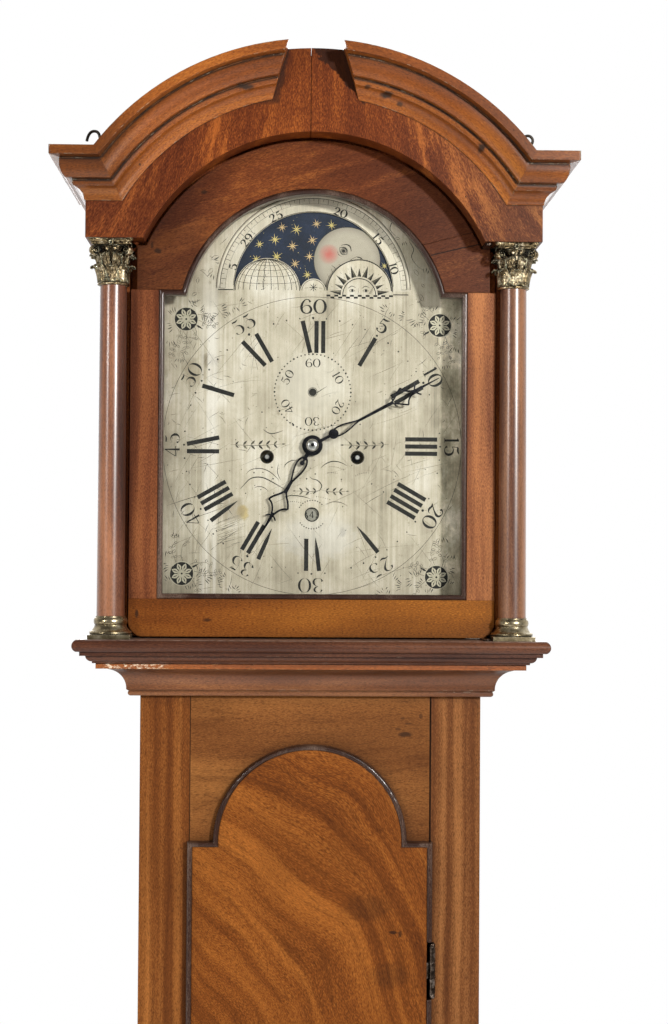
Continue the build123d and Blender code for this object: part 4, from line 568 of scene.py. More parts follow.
def dial_material():
    """Silvered brass: vertical brushing, bright streaks, tarnish clouds and a few stains, with painted shade at the
    edges and upper right, painted reflections on the shaded right-hand band and a painted lift on the arch.
    """
    t = Tree("silvered_dial")
    a = t.noise(t.map(t.co, scale=(380, 60, 9)), detail=4, rough=0.65)
    b = t.noise(t.map(t.co, loc=(2, 0, 5), scale=(70, 20, 5)), detail=4, rough=0.6)
    c = t.noise(t.map(t.co, loc=(7, 0, 1), scale=(20, 8, 16)), detail=5, rough=0.62)
    f = t.add(t.mul(t.sub(a, 0.5), 0.80), t.mul(t.sub(b, 0.5), 0.46))
    f = t.add(t.add(f, t.mul(t.sub(c, 0.5), 1.55)), 0.49)
    col = t.ramp(f, [(0.0, (0.25, 0.225, 0.155)), (0.3, (0.43, 0.39, 0.28)), (0.55, (0.575, 0.53, 0.395)),
                     (0.85, (0.76, 0.73, 0.61)), (1.0, (0.86, 0.84, 0.75))])
    # tarnish gathers along the edges of the plate and in the corners
    ex = t.step(t.math("ABSOLUTE", t.x), 0.100, 0.160)
    tarn = t.noise(t.map(t.co, loc=(11, 0, 3), scale=(36, 10, 22)), detail=5, rough=0.65)
    col = t.mix(t.mul(t.mul(ex, t.step(tarn, 0.40, 0.66)), 0.75), col, (0.24, 0.215, 0.145))
    spots = t.noise(t.map(t.co, loc=(5, 0, 9), scale=(110, 30, 90)), detail=4, rough=0.7)
    col = t.mix(t.mul(t.step(spots, 0.62, 0.74), 0.5), col, (0.20, 0.17, 0.10))

    def stain(col, x, z, rx, rz, tone, k, ragged=0.35):
        u = t.mul(t.sub(t.x, x * 0.001), 1000.0 / rx)
        v = t.mul(t.sub(t.z, z * 0.001), 1000.0 / rz)
        d = t.math("SQRT", t.add(t.mul(u, u), t.mul(v, v)))
        n = t.noise(t.map(t.co, loc=(x * 0.1, 0, z * 0.1), scale=(160, 40, 160)), detail=4)
        d = t.add(d, t.mul(t.sub(n, 0.5), ragged * 3))
        return t.mix(t.mul(t.step(d, 1.1, 0.5), k), col, tone)

    col = stain(col, -69.5, 1727.5, 6.5, 9.5, (0.50, 0.38, 0.12), 0.75)
    col = stain(col, -80, 1729, 15, 15, (0.27, 0.225, 0.14), 0.55)
    col = stain(col, -104, 1880, 10, 8, (0.21, 0.17, 0.10), 0.75)
    col = stain(col, -120, 1868, 13, 14, (0.27, 0.225, 0.13), 0.45)
    col = stain(col, 31, 1708, 4, 6, (0.24, 0.21, 0.16), 0.5)
    # Painted shade: a broad darker patch right of the lunar ring, where the arch of the door frame shades the plate.
    col = stain(col, 128, 2003, 44, 60, (0.17, 0.155, 0.10), 0.55, 0.15)
    col = stain(col, 0, 1858, 42, 40, (0.72, 0.70, 0.58), 0.42, 0.2)
    col = stain(col, 6, 1702, 46, 26, (0.68, 0.68, 0.62), 0.36, 0.25)
    # the lunar scale is rubbed brighter than the field
    u, v = t.x, t.sub(t.z, ZM * 0.001)
    rm = t.math("SQRT", t.add(t.mul(u, u), t.mul(v, v)))
    lun = t.mul(t.mul(t.step(rm, 0.0806, 0.0812), t.step(rm, 0.0978, 0.0970)), t.step(v, 0.0, 0.002))
    col = t.mix(t.mul(lun, 0.45), col, (0.70, 0.665, 0.54))
    # bright bands running down the left side
    band = t.mul(t.step(t.math("ABSOLUTE", t.add(t.x, 0.1035)), 0.012, 0.003), t.step(t.z, 1.985, 1.90))
    bn = t.noise(t.map(t.co, loc=(1, 0, 13), scale=(160, 20, 5)), detail=3)
    col = t.mix(t.mul(t.mul(band, t.step(bn, 0.38, 0.62)), 0.75), col, (0.82, 0.80, 0.70))
    # Painted reflections: strong bright and dark mottling laid over the shaded band down the right-hand edge of the
    # plate.
    painted_reflection_noise = t.noise(t.map(t.co, loc=(3, 0, 8), scale=(34, 8, 24)), detail=5, rough=0.68)
    right_shaded_band = t.step(t.x, 0.1265, 0.1315)
    col = t.mix(right_shaded_band, col, t.mix(1.0, col, t.ramp(painted_reflection_noise, [(0.32, (0.45, 0.45, 0.38)), (0.50, (1.15, 1.15, 1.08)), (0.64, (2.1, 2.1, 2.15))]), "MULTIPLY"))
    # fine crossing scratches
    for k, (rot, sc, amt) in enumerate([((0, 0.95, 0), (10, 5, 900), 0.30), ((0, -0.5, 0), (12, 5, 1000), 0.24),
                                        ((0, 1.35, 0), (9, 5, 800), 0.22)]):
        n = t.noise(t.map(t.map(t.co, loc=(k * 1.7, 0, k * 0.9), rot=rot), scale=sc), detail=2)
        g = t.noise(t.map(t.co, loc=(k * 3.1, 0, k), scale=(22, 5, 22)), detail=3)
        m = t.mul(t.step(n, 0.66, 0.74), t.step(g, 0.5, 0.62))
        col = t.mix(t.mul(m, amt), col, (0.13, 0.115, 0.08))
    # Painted shade: darker where the door frame, hands and bosses hem the plate in.
    ao = t.ao(0.02, samples=4)
    col = t.mix(t.mul(t.math("POWER", t.sub(1.0, ao), 1.3), 0.28), col, (0.12, 0.105, 0.07))
    col = t.mix(1.0, col, (0.97, 0.95, 1.0), "MULTIPLY")
    # Painted light: the arch of the plate is lifted about 15 % to offset the shade cast by the fascia and door frame.
    col = t.mix(t.step(t.z, 1.945, 2.01), col, t.mix(1.0, col, (1.16, 1.15, 1.12), "MULTIPLY"))
    r = t.add(0.40, t.mul(b, 0.16))
    n = t.bump(t.add(a, t.mul(c, 0.5)), 0.05, 0.0003)
    return t.finish(Base_Color=col, Roughness=r, Metallic=0.10, Specular_IOR_Level=0.35, Normal=n)


M["dial"] = dial_material()


def disc_paint(name, kind):
    t = Tree(name)
    a = t.noise(t.co, scale=55, detail=5, rough=0.6)
    b = t.noise(t.map(t.co, loc=(4, 0, 4)), scale=320, detail=3)
    f = t.add(t.mul(t.sub(a, 0.5), 1.2), t.add(0.5, t.mul(t.sub(b, 0.5), 0.6)))
    if kind == "navy":
        col = t.ramp(f, [(0.1, (0.004, 0.008, 0.018)), (0.5, (0.008, 0.017, 0.040)), (0.9, (0.015, 0.028, 0.066))])
        chip = t.noise(t.map(t.co, loc=(9, 0, 2)), scale=900, detail=2)
        col = t.mix(t.mul(t.step(chip, 0.70, 0.76), 0.5), col, (0.18, 0.20, 0.22))
    else:
        # Painted shade: the date disc's silver is given a dark grey, for the shade it sits in behind its small window.
        col = t.ramp(f, [(0.1, (0.17, 0.16, 0.13)), (0.5, (0.25, 0.24, 0.20)), (0.9, (0.34, 0.33, 0.28))])
    return t.finish(Base_Color=col, Roughness=t.add(0.42, t.mul(b, 0.2)), Specular_IOR_Level=0.35,
                    Normal=t.bump(b, 0.05, 0.0003))


M["navy"] = disc_paint("moon_disc_paint", "navy")
M["date"] = disc_paint("date_disc_silver_painted_shade", "pale")


def ink(name, base, lift, wear=0.5, rough=0.6, metallic=0.0, fine=300.0):
    """Wax or paint filling the engraving: nearly even, rubbed thin in places."""
    t = Tree(name)
    a = t.noise(t.co, scale=fine, detail=4, rough=0.65)
    b = t.noise(t.map(t.co, loc=(2, 5, 1)), scale=70, detail=3)
    col = t.mix(t.mul(t.step(t.add(t.mul(a, 0.6), t.mul(b, 0.4)), 0.45, 0.66), wear), base, lift)
    return t.finish(Base_Color=col, Roughness=t.add(rough - 0.1, t.mul(a, 0.2)), Metallic=metallic,
                    Specular_IOR_Level=0.25, Normal=t.bump(a, 0.08, 0.0002))


M["ink"] = ink("engraving_black", (0.010, 0.010, 0.009), (0.045, 0.042, 0.036), 0.6)
M["ink_soft"] = ink("engraving_worn", (0.022, 0.020, 0.016), (0.115, 0.10, 0.072), 0.8)
M["ink_faint"] = ink("engraving_rubbed", (0.085, 0.075, 0.052), (0.26, 0.235, 0.17), 0.85)
M["pale"] = ink("silver_petals", (0.56, 0.52, 0.40), (0.34, 0.31, 0.22), 0.6, rough=0.5, metallic=0.2)
M["gold"] = ink("star_gold", (0.78, 0.64, 0.22), (0.52, 0.42, 0.16), 0.5, rough=0.5)
M["gold_red"] = ink("star_copper", (0.76, 0.55, 0.26), (0.52, 0.36, 0.17), 0.5, rough=0.5)


def moon_paint():
    """The moon's painted face: warm cream, shaded round the rim, with rouged cheeks from a vertex colour."""
    t = Tree("moon_face_paint")
    v = t.t.nodes.new("ShaderNodeVertexColor")
    v.layer_name = "paint"
    a = t.noise(t.co, scale=160, detail=5, rough=0.6)
    col = t.mix(t.mul(t.step(a, 0.40, 0.72), 0.30), v.outputs["Color"], (0.36, 0.33, 0.25))
    crack = t.noise(t.map(t.co, scale=(40, 40, 700)), detail=2)
    col = t.mix(t.mul(t.step(crack, 0.68, 0.76), 0.25), col, (0.25, 0.22, 0.16))
    return t.finish(Base_Color=col, Roughness=t.add(0.45, t.mul(a, 0.15)), Specular_IOR_Level=0.35,
                    Normal=t.bump(a, 0.05, 0.0003))


M["moon"] = moon_paint()


def gut_material():
    t = Tree("gut_line")
    w = t.t.nodes.new("ShaderNodeTexWave")
    w.bands_direction = "DIAGONAL"
    t.put(w.inputs["Vector"], t.map(t.co, scale=(900, 900, 420)))
    w.inputs["Scale"].default_value = 1.0
    w.inputs["Distortion"].default_value = 1.0
    f = w.outputs["Fac"]
    n = t.noise(t.map(t.co, scale=(60, 60, 25)), detail=3)
    col = t.ramp(t.add(t.mul(f, 0.5), t.mul(n, 0.5)), [(0.2, (0.10, 0.062, 0.025)), (0.8, (0.36, 0.26, 0.13))])
    return t.finish(Base_Color=col, Roughness=t.add(0.4, t.mul(n, 0.2)), Normal=t.bump(f, 0.3, 0.0004))


M["gut"] = gut_material()


def glass_material():
    """Old window glass: clear, with a slight ripple that only shows in its reflections."""
    t = Tree("door_glass")
    n = t.noise(t.map(t.co, scale=(9, 9, 5)), detail=2)
    nrm = t.bump(n, 0.05, 0.002)
    clear = t.t.nodes.new("ShaderNodeBsdfTransparent")
    clear.inputs[0].default_value = (0.972, 0.978, 0.968, 1)
    gl = t.t.nodes.new("ShaderNodeBsdfGlossy")
    gl.inputs["Color"].default_value = (1, 1, 1, 1)
    gl.inputs["Roughness"].default_value = 0.03
    t.put(gl.inputs["Normal"], nrm)
    lw = t.t.nodes.new("ShaderNodeLayerWeight")
    lw.inputs["Blend"].default_value = 0.5
    t.put(lw.inputs["Normal"], nrm)
    mx = t.t.nodes.new("ShaderNodeMixShader")
    t.put(mx.inputs[0], t.add(t.mul(t.math("POWER", lw.outputs["Facing"], 5.0), 0.95), 0.028))
    t.t.links.new(clear.outputs[0], mx.inputs[1])
    t.t.links.new(gl.outputs[0], mx.inputs[2])
    t.t.links.new(mx.outputs[0], t.out.inputs[0])
    return t.mat


M["glass"] = glass_material()

# ------------------------------------------------------------------ finishes on the CAD nodes
FINISH = {
    "hood_fascia": W["fascia"], "hood_cornice": W["cornice"], "hood_sides": W["hood_side"], "hood_roof": W["oak_roof"],
    "hood_base_moulding": W["hood_base"], "hood_front_frame": W["frame"], "hood_columns": W["column"],
    "column_bases": M["brass_base"], "column_capitals": M["brass_cast"], "hood_hooks": M["iron"],
    "hood_door_stiles": W["door_stile"], "hood_door_bottom_rail": W["door_rail"], "hood_door_arch_rail": W["arch_rail"],
    "hood_door_bead": W["bead"], "hood_door_glass": M["glass"], "hood_door_pivots": M["bronze"],
    "trunk_stiles": W["stile"], "trunk_rails": W["rail"], "trunk_sides": W["trunk_side"], "throat_moulding": W["throat"],
    "trunk_door_panel": W["door"], "trunk_door_bead": W["bead"], "trunk_hinge_door": M["bronze"],
    "trunk_hinge_frame": M["bronze"], "trunk_lock": M["brass_aged"], "trunk_lock_bolt": M["steel"],
    "base_front": W["base"], "base_sides": W["base_side"], "base_panel": W["base_panel"],
    "base_moulding": W["base_mould"], "plinth_skirting": W["plinth"], "backboard": W["oak"], "seatboard": W["oak_x"],
    "front_plate": M["brass_clock"], "back_plate": M["brass_clock"], "movement_pillars": M["brass_clock"],
    "dial_plate": M["dial"], "back_cock": M["brass_clock"], "bell_stand": M["steel"], "bell": M["bell"],
    "minute_hand": M["blued"], "hour_hand": M["blued"], "centre_wheel": M["centre"], "hour_wheel": M["brass_clock"],
    "minute_wheel": M["brass_clock"], "going_barrel": M["barrel"], "third_wheel": M["brass_clock"],
    "escape_wheel": M["brass_clock"], "strike_barrel": M["barrel"], "pin_wheel": M["brass_clock"],
    "hammer": M["steel"], "anchor_crutch": M["steel"], "pendulum_rod": M["steel"], "pendulum_bob": M["lead"],
    "moon_disc": M["navy"], "date_disc": M["date"], "going_weight": M["lead"], "strike_weight": M["lead"],
    "going_line": M["gut"], "strike_line": M["gut"],
}
for node, obj in NODES.items():
    mat = FINISH[node]
    obj.data.materials.clear()
    obj.data.materials.append(mat)


# ------------------------------------------------------------------ drawing in the plane of the dial
def link(mesh, name):
    o = bpy.data.objects.new(name, mesh)
    bpy.context.scene.collection.objects.link(o)
    return o


def smooth(pts, per=6, closed=False):
    """Catmull-Rom through control points of any width."""
    n = len(pts)
    out = []
    for i in range(n if closed else n - 1):
        p1, p2 = np.array(pts[i], float), np.array(pts[(i + 1) % n], float)
        p0 = np.array(pts[i - 1], float) if closed or i else 2 * p1 - p2
        p3 = np.array(pts[(i + 2) % n], float) if closed or i < n - 2 else 2 * p2 - p1
        for k in range(per):
            s = k / per
            out.append(0.5 * (2 * p1 + (p2 - p0) * s + (2 * p0 - 5 * p1 + 4 * p2 - p3) * s * s
                              + (3 * p1 - p0 - 3 * p2 + p3) * s ** 3))
    if not closed:
        out.append(np.array(pts[-1], float))
    return out


class Drawing:
    """Flat strokes and patches in front of a plate, gathered into one thin solid piece."""

    def __init__(self, y=Y_INK):
        self.v, self.f, self.y = [], [], y

    def poly(self, pts):
        a = sum(p[0] * q[1] - q[0] * p[1] for p, q in zip(pts, pts[1:] + pts[:1]))
        if a < 0:
            pts = pts[::-1]
        n = len(self.v)
        self.v += [(p[0] * 0.001, self.y * 0.001, p[1] * 0.001) for p in pts]
        self.f.append(tuple(range(n, n + len(pts))))

    def ribbon(self, pts, closed=False):
        """pts are (x, z, width)."""
        n = len(pts)
        left, right = [], []
        for i, p in enumerate(pts):
            a = pts[i - 1] if closed or i else p
            b = pts[(i + 1) % n] if closed or i < n - 1 else p
            dx, dz = b[0] - a[0], b[1] - a[1]
            L = math.hypot(dx, dz) or 1.0
            w = max(p[2], 0.02) / 2
            left.append((p[0] - dz / L * w, p[1] + dx / L * w))
            right.append((p[0] + dz / L * w, p[1] - dx / L * w))
        k = len(self.v)
        self.v += [(p[0] * 0.001, self.y * 0.001, p[1] * 0.001) for p in left + right]
        for i in range(n if closed else n - 1):
            j = (i + 1) % n
            self.f.append((k + i, k + n + i, k + n + j, k + j))

    def line(self, x0, z0, x1, z1, w0, w1=None):
        self.ribbon([(x0, z0, w0), (x1, z1, w0 if w1 is None else w1)])

    def curve(self, pts, per=6, closed=False):
        self.ribbon([tuple(p) for p in smooth(pts, per, closed)], closed)

    def disc(self, x, z, r, n=16):
        self.poly([(x + r * math.cos(2 * math.pi * i / n), z + r * math.sin(2 * math.pi * i / n)) for i in range(n)])

    def ring(self, x, z, r, w, a0=0.0, a1=360.0, n=96):
        full = abs(a1 - a0) >= 359.9
        m = n if full else n + 1
        self.ribbon([(x + r * math.cos(math.radians(a0 + (a1 - a0) * i / n)),
                      z + r * math.sin(math.radians(a0 + (a1 - a0) * i / n)), w) for i in range(m)], full)

    def build(self, name, mat, body, slot, thick=0.00006):
        m = bpy.data.meshes.new(name)
        m.from_pydata(self.v, [], self.f)
        m.validate()
        m.materials.append(mat)
        o = link(m, name)
        s = o.modifiers.new("thickness", "SOLIDIFY")
        s.thickness = thick
        s.offset = -1.0
        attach(o, body)
        return o


DIGITS = {
    "1": [[(0, 0, .13), (0, 1, .13)], [(-.17, .02, .035), (.17, .02, .035)], [(-.15, .86, .04), (-.02, .98, .07)]],
    "2": [[(-.25, .72, .15), (-.24, .86, .09), (-.02, .975, .045), (.22, .88, .12), (.26, .70, .15), (.10, .45, .09),
           (-.14, .2, .05), (-.34, .045, .04)],
          [(-.34, .05, .05), (-.12, .10, .10), (.12, .035, .12), (.32, .10, .05), (.37, .22, .03)]],
    "3": [[(-.25, .78, .14), (-.18, .92, .06), (.02, .975, .045), (.24, .85, .13), (.20, .66, .11), (.0, .55, .04)],
          [(.0, .55, .03), (.18, .50, .07), (.31, .30, .15), (.24, .09, .11), (.02, .02, .045), (-.20, .07, .07),
           (-.28, .22, .14)]],
    "4": [[(.12, 1, .065), (-.36, .29, .07)], [(-.37, .28, .07), (.36, .28, .07)], [(.12, 1, .09), (.12, 0, .14)],
          [(-.04, .015, .03), (.28, .015, .03)]],
    "5": [[(-.22, .94, .04), (-.26, .53, .04)], [(-.22, .93, .10), (.05, .92, .11), (.27, 1.0, .04)],
          [(-.26, .53, .03), (-.06, .62, .05), (.20, .54, .11), (.31, .30, .16), (.20, .08, .10), (-.04, .02, .045),
           (-.22, .08, .07), (-.28, .2, .13)]],
    "6": [[(.26, .80, .13), (.16, .94, .06), (-.04, .97, .045), (-.26, .74, .12), (-.34, .42, .155), (-.25, .13, .11),
           (0, .02, .045), (.24, .11, .11), (.325, .30, .145), (.22, .51, .1), (.02, .575, .04), (-.18, .49, .035),
           (-.29, .35, .03)]],
    "7": [[(-.33, .80, .05), (-.28, .93, .07), (.0, .92, .11), (.33, .97, .05)], [(.33, .97, .04), (.10, .55, .08),
                                                                              (.0, .0, .15)]],
    "8": [[(0, .53, .07), (.19, .65, .08), (.235, .80, .10), (0, .975, .045), (-.235, .80, .12), (-.16, .63, .11),
           (0, .53, .11), (.22, .39, .12), (.31, .22, .12), (0, .02, .045), (-.31, .22, .11), (-.2, .42, .07),
           (0, .53, .06)]],
}
DIGITS["9"] = [[(-x, 1 - y, w) for x, y, w in s] for s in DIGITS["6"]]
WIDTH = {"1": 0.46, "4": 0.80, "7": 0.76}


def digit(dr, ch, place, h, bold=1.0, cut=0.0):
    if ch == "0":
        pts = []
        for i in range(28):
            a = 2 * math.pi * i / 28
            pts.append((0.37 * math.cos(a), 0.5 + 0.48 * math.sin(a), max(0.006, (0.035 + 0.125 * abs(math.cos(a)) ** 1.6) * bold - cut)))
        dr.ribbon([place(x * h, y * h) + (w * h,) for x, y, w in pts], True)
        return
    for s in DIGITS[ch]:
        pts = [(x, y, max(0.006, w * bold - cut)) for x, y, w in s]
        if len(pts) > 2:
            pts = [tuple(p) for p in smooth(pts, 5)]
        dr.ribbon([place(x * h, y * h) + (w * h,) for x, y, w in pts])


def number(dr, text, x0, z0, r, ang, h, bold=1.0, gap=0.10, squeeze=1.0, cut=0.0):
    """A number on a ring about (x0, z0), r to its middle, ang clockwise from the top, tops outward."""
    a = math.radians(ang)
    ux, uz = math.sin(a), math.cos(a)           # outward
    tx, tz = math.cos(a), -math.sin(a)          # reading direction
    ws = [WIDTH.get(c, 0.86) * h * squeeze for c in text]
    total = sum(ws) + gap * h * (len(ws) - 1)
    s = -total / 2
    for c, w in zip(text, ws):
        mid = s + w / 2

        def place(px, py, mid=mid):
            lx, ly = px * squeeze + mid, py - h / 2 + r
            return (x0 + tx * lx + ux * ly, z0 + tz * lx + uz * ly)

        digit(dr, c, place, h, bold, cut)
        s += w + gap * h


rnd = random.Random(20)
black, worn, faint, pale = Drawing(), Drawing(-30.05), Drawing(-30.04), Drawing(-30.10)

# ---- Roman hours: the broad strokes hold their wax, the hairlines have rubbed away
R0, R1, TK = 93.6, 126.0, 4.25
ROMAN = {
    12: [("X", -10.6, -2.7), ("I", 3.5), ("I", 10.3)], 1: [("I", 0.0)], 2: [("I", -3.6), ("I", 3.6)],
    3: [("I", -7.2), ("I", 0.0), ("I", 7.2)], 4: [("I", -10.6), ("I", -3.6), ("I", 3.6), ("I", 10.6)],
    5: [("V", -4.4, 0.9)], 6: [("V", -7.6, -3.9), ("I", 5.4)], 7: [("V", -10.8, -7.2), ("I", 1.2), ("I", 8.2)],
    8: [("V", -15.2, -11.2), ("I", -2.4), ("I", 4.6), ("I", 11.6)], 9: [("I", -6.4), ("X", 0.9, 7.6)],
    10: [("X", -3.9, 4.0)], 11: [("X", -9.3, -1.2), ("I", 6.6)],
}


def hour(h):
    a = math.radians(30 * h)
    ux, uz, tx, tz = math.sin(a), math.cos(a), math.cos(a), -math.sin(a)

    def at(s, r):
        return (tx * s + ux * r, ZC + tz * s + uz * r)

    for g in ROMAN[h]:
        if g[0] == "I":
            lo, hi = at(g[1], R0), at(g[1], R1)
            black.line(*lo, *hi, TK)
        elif g[0] == "X":
            lo, hi = at(g[2], R0), at(g[1], R1)
            black.line(*lo, *hi, TK * 1.03)
            faint.line(*at(g[1] - 0.6, R0), *at(g[2] + 0.6, R1), 0.32, 0.2)
        else:
            lo, hi = at(g[2], R0 - 1.0), at(g[1], R1)
            mid = at(g[1] + (g[2] - g[1]) * 0.62, R1 + (R0 - R1) * 0.62)
            black.ribbon([hi + (TK,), mid + (TK * 0.92,), lo + (0.15,)])
            faint.line(*lo, *at(2 * g[2] - g[1], R1), 0.3, 0.2)


for h in range(1, 13):
    hour(h)

# ---- minutes
for i in range(60):
    a = math.radians(6 * i)
    big = 1.25 if i % 5 == 0 else 0.85
    if i % 5 and rnd.random() < 0.18:
        continue
    (black if rnd.random() < 0.8 else worn).disc(128.9 * math.sin(a), ZC + 128.9 * math.cos(a), big * rnd.uniform(0.75, 1.1), 10)
for k in range(1, 13):
    rubbed = k in (5, 6, 7, 8, 9, 10, 11)
    number(black, str(5 * k), 0, ZC, 140.6, 30 * k, 14.8, 1.3 if rubbed else 1.12, 0.06,
           1.0 if k in (12, 6) else 0.94, 0.045 if rubbed else 0.0)
worn.ring(0, ZC, 150.2, 0.40, n=160)

# ---- seconds
for i in range(60):
    a = math.radians(6 * i)
    black.disc(38.4 * math.sin(a), ZS + 38.4 * math.cos(a), 0.78 if i % 5 else 1.0, 8)
for k in range(1, 7):
    number(black, str(10 * k), 0, ZS, 29.5, 60 * k, 8.6, 1.0, 0.06, 0.98)
black.disc(0, ZS, 3.9, 24)
black.line(4.0, ZS - 0.6, 14.4, ZS + 6.0, 0.85, 0.2)
worn.ring(0, ZS, 4.6, 0.5, n=32)

# ---- date window
black.ring(0, ZD, 6.75, 1.05, n=48)
for s in (0, 1):
    for i in range(11):
        a = math.radians((98 if s == 0 else 268) + (i - 5) * 10.4)
        black.disc(14.4 * math.cos(a), ZD + 14.4 * math.sin(a), 0.66, 8)
# ---- winding holes
for sx in (-45.5, 45.5):
    black.ring(sx, 1783, 6.55, 0.7, n=40)

# ---- centre scrolls: open pen flourishes with rows of points between them
def pen(dr, pts, w, per=7):
    n = len(pts)
    dr.curve([(x, ZC + z, max(0.12, w * math.sin(math.pi * (0.10 + 0.80 * i / (n - 1))) ** 1.2)) for i, (x, z) in enumerate(pts)], per)


for pts, w in (
        ([(-49.5, 16.4), (-45.9, 13.4), (-41.0, 11.9), (-34.9, 13.1), (-29.4, 15.1)], .75),
        ([(-66.3, -29.1), (-62.6, -25.2), (-55.3, -23.3), (-48.0, -24.1), (-41.3, -27.5), (-35.8, -32.3), (-33.1, -35.4)], .7),
        ([(-72.2, -44.2), (-67.4, -38.7), (-62.0, -33.7), (-55.3, -32.0), (-48.0, -33.0), (-39.4, -37.2), (-32.1, -41.4), (-26.6, -44.7)], .95),
        ([(-58.2, -43.2), (-55.2, -41.7), (-50.9, -41.7), (-46.7, -43.6), (-43.6, -46.5)], .6),
        ([(-33.8, -18.3), (-35.0, -25.0), (-34.0, -29.9), (-31.5, -34.7)], .6),
        ([(-28.5, -22.5), (-26.1, -18.2), (-20.7, -15.1), (-15.2, -14.7)], .75),
        ([(-2.6, -31.1), (0.2, -33.3), (5.1, -34.7), (8.8, -38.1), (9.6, -41.1), (7.6, -44.8), (4.5, -45.7)], .8),
        ([(-28.3, -51.8), (-22.2, -50.5), (-14.9, -50.5), (-7.6, -51.6), (-1.5, -53.5)], .8),
        ([(8.5, -22.4), (13.7, -18.1), (20.5, -15.6), (28.2, -16.5), (35.9, -20.3)], .85),
        ([(14.0, -58.5), (21.0, -56.4), (29.0, -57.0), (36.0, -60.4)], .6)):
    pen(black if w > .72 else worn, pts, w * 1.2)
for x0, z0, x1, z1, x2, z2, n in ((17.8, -20.7, 25.1, -21.6, 31.9, -23.9, 8), (16.0, -27.0, 20.6, -27.0, 25.2, -27.6, 6),
                                  (4.6, -51.2, 11.3, -52.2, 18.0, -54.1, 7), (-27.1, -57.3, -18.5, -56.4, -9.4, -58.0, 10),
                                  (44.0, -30.0, 50.0, -27.4, 57.0, -27.0, 7)):
    for k in range(n):
        q = k / (n - 1)
        x = x0 * (1 - q) ** 2 + 2 * (2 * x1 - (x0 + x2) / 2) * q * (1 - q) + x2 * q * q
        z = z0 * (1 - q) ** 2 + 2 * (2 * z1 - (z0 + z2) / 2) * q * (1 - q) + z2 * q * q
        worn.disc(x, ZC + z, rnd.uniform(.34, .5), 8)
for x, z in ((-50.9, 33.5), (-40.5, -22.0), (-49.5, -27.2), (-39.2, -33.6), (-57.6, -40.4), (-51.5, -44.6), (-66.7, -48.4),
             (-38.5, -48.0), (3.2, -28.4), (-5.5, -33.3), (29.5, -33.7), (30.9, -61.1), (-98.9, -89.4), (-88.8, -99.1), (-58.4, -27.6),
             (48, 22), (60, -38), (-20, 22), (72, -46)):
    black.disc(x, ZC + z, rnd.uniform(.5, .85), 9)


def spray(x0, z0, x1, z1, n, size):
    """A laurel sprig: a bowed stem with pairs of pointed leaves, each cut as a solid lobe, and a bud at its end."""
    c, s_ = x1 - x0, z1 - z0
    base = math.degrees(math.atan2(s_, c))
    worn.curve([(x0, ZC + z0, .2), ((x0 + x1) / 2, ZC + (z0 + z1) / 2 - 1.2, .5), (x1, ZC + z1, .2)], 6)
    for k in range(n + 1):
        q = (k + 0.6) / (n + 0.6)
        x, z = x0 + c * q, ZC + z0 + s_ * q - 4.8 * q * (1 - q) * 0.5
        L = size * (0.62 + 0.38 * math.sin(math.pi * q))
        for side in ((1, -1) if k < n else (0,)):
            a = math.radians(base + 46 * side)
            u, v = math.cos(a), math.sin(a)
            w = 0.17 * L
            pts = [(x, z)] + [(x + t_ * L * u - e * w * v, z + t_ * L * v + e * w * u)
                              for t_, e in ((.25, .8), (.5, 1.0), (.78, .6), (1.0, 0.0), (.78, -.6), (.5, -1.0), (.25, -.8))]
            (worn if (k + side) % 3 else faint).poly(pts)


spray(-82, 0.5, -31, 1.5, 6, 6.6)
spray(77, 2.0, 32, 1.0, 5, 6.4)
spray(8, -45.0, -16, -45.6, 3, 5.6)
spray(10, -45.0, 34, -45.6, 3, 5.6)

# ---- corner rosettes
for cx, cz in ((-127.7, ZC + 126.6), (127.9, ZC + 122.6), (-130.2, ZC - 129.4), (125.8, ZC - 131.6)):
    black.disc(cx, cz, 11.5, 44)
    pale.ring(cx, cz, 12.2, .45, n=48)
    for i in range(8):
        a = math.radians(45 * i + 22.5)
        pts = []
        for s, r in ((0, 3.0), (-1.5, 4.6), (-2.35, 6.6), (-1.7, 8.7), (0, 10.9), (1.7, 8.7), (2.35, 6.6), (1.5, 4.6)):
            pts.append((cx + math.cos(a) * r - math.sin(a) * s, cz + math.sin(a) * r + math.cos(a) * s))
        pale.poly(pts)
    pale.disc(cx, cz, 4.3, 20)
inkpt = Drawing(-30.14)
for cx, cz in ((-127.7, ZC + 126.6), (127.9, ZC + 122.6), (-130.2, ZC - 129.4), (125.8, ZC - 131.6)):
    inkpt.disc(cx, cz, 1.0, 12)
    for i in range(8):
        a = math.radians(45 * i + 22.5)
        inkpt.ribbon([(cx + r * math.cos(a), cz + r * math.sin(a), w) for r, w in ((4.8, .1), (6.4, .9), (7.8, .8), (9.4, .1))])
        a += math.radians(22.5)
        inkpt.ribbon([(cx + r * math.cos(a), cz + r * math.sin(a), w) for r, w in ((3.6, .15), (4.6, .5), (6.0, .9))])


# ---- engraved sprays of small leaves round the corners and in the arch
def leaf(dr, x, z, ang, size, lean=0.0):
    a = math.radians(ang)
    c, s = math.cos(a), math.sin(a)
    for side in (-1, 1):
        pts = []
        for t_, off, w in ((0, 0, .14), (.35, .22, .42), (.7, .2, .34), (1, 0, .1)):
            u, v = t_ * size, (off * side + lean * t_ * t_) * size
            pts.append((x + c * u - s * v, z + s * u + c * v, w))
        dr.curve(pts, 3)


def inside(x, z):
    if z > 1948:
        return math.hypot(x, z - ZA) < 133.5 and math.hypot(x, z - ZM) > 96.5 and z > 1953
    return abs(x) < 149.5 and z > 1643 and z < 1946


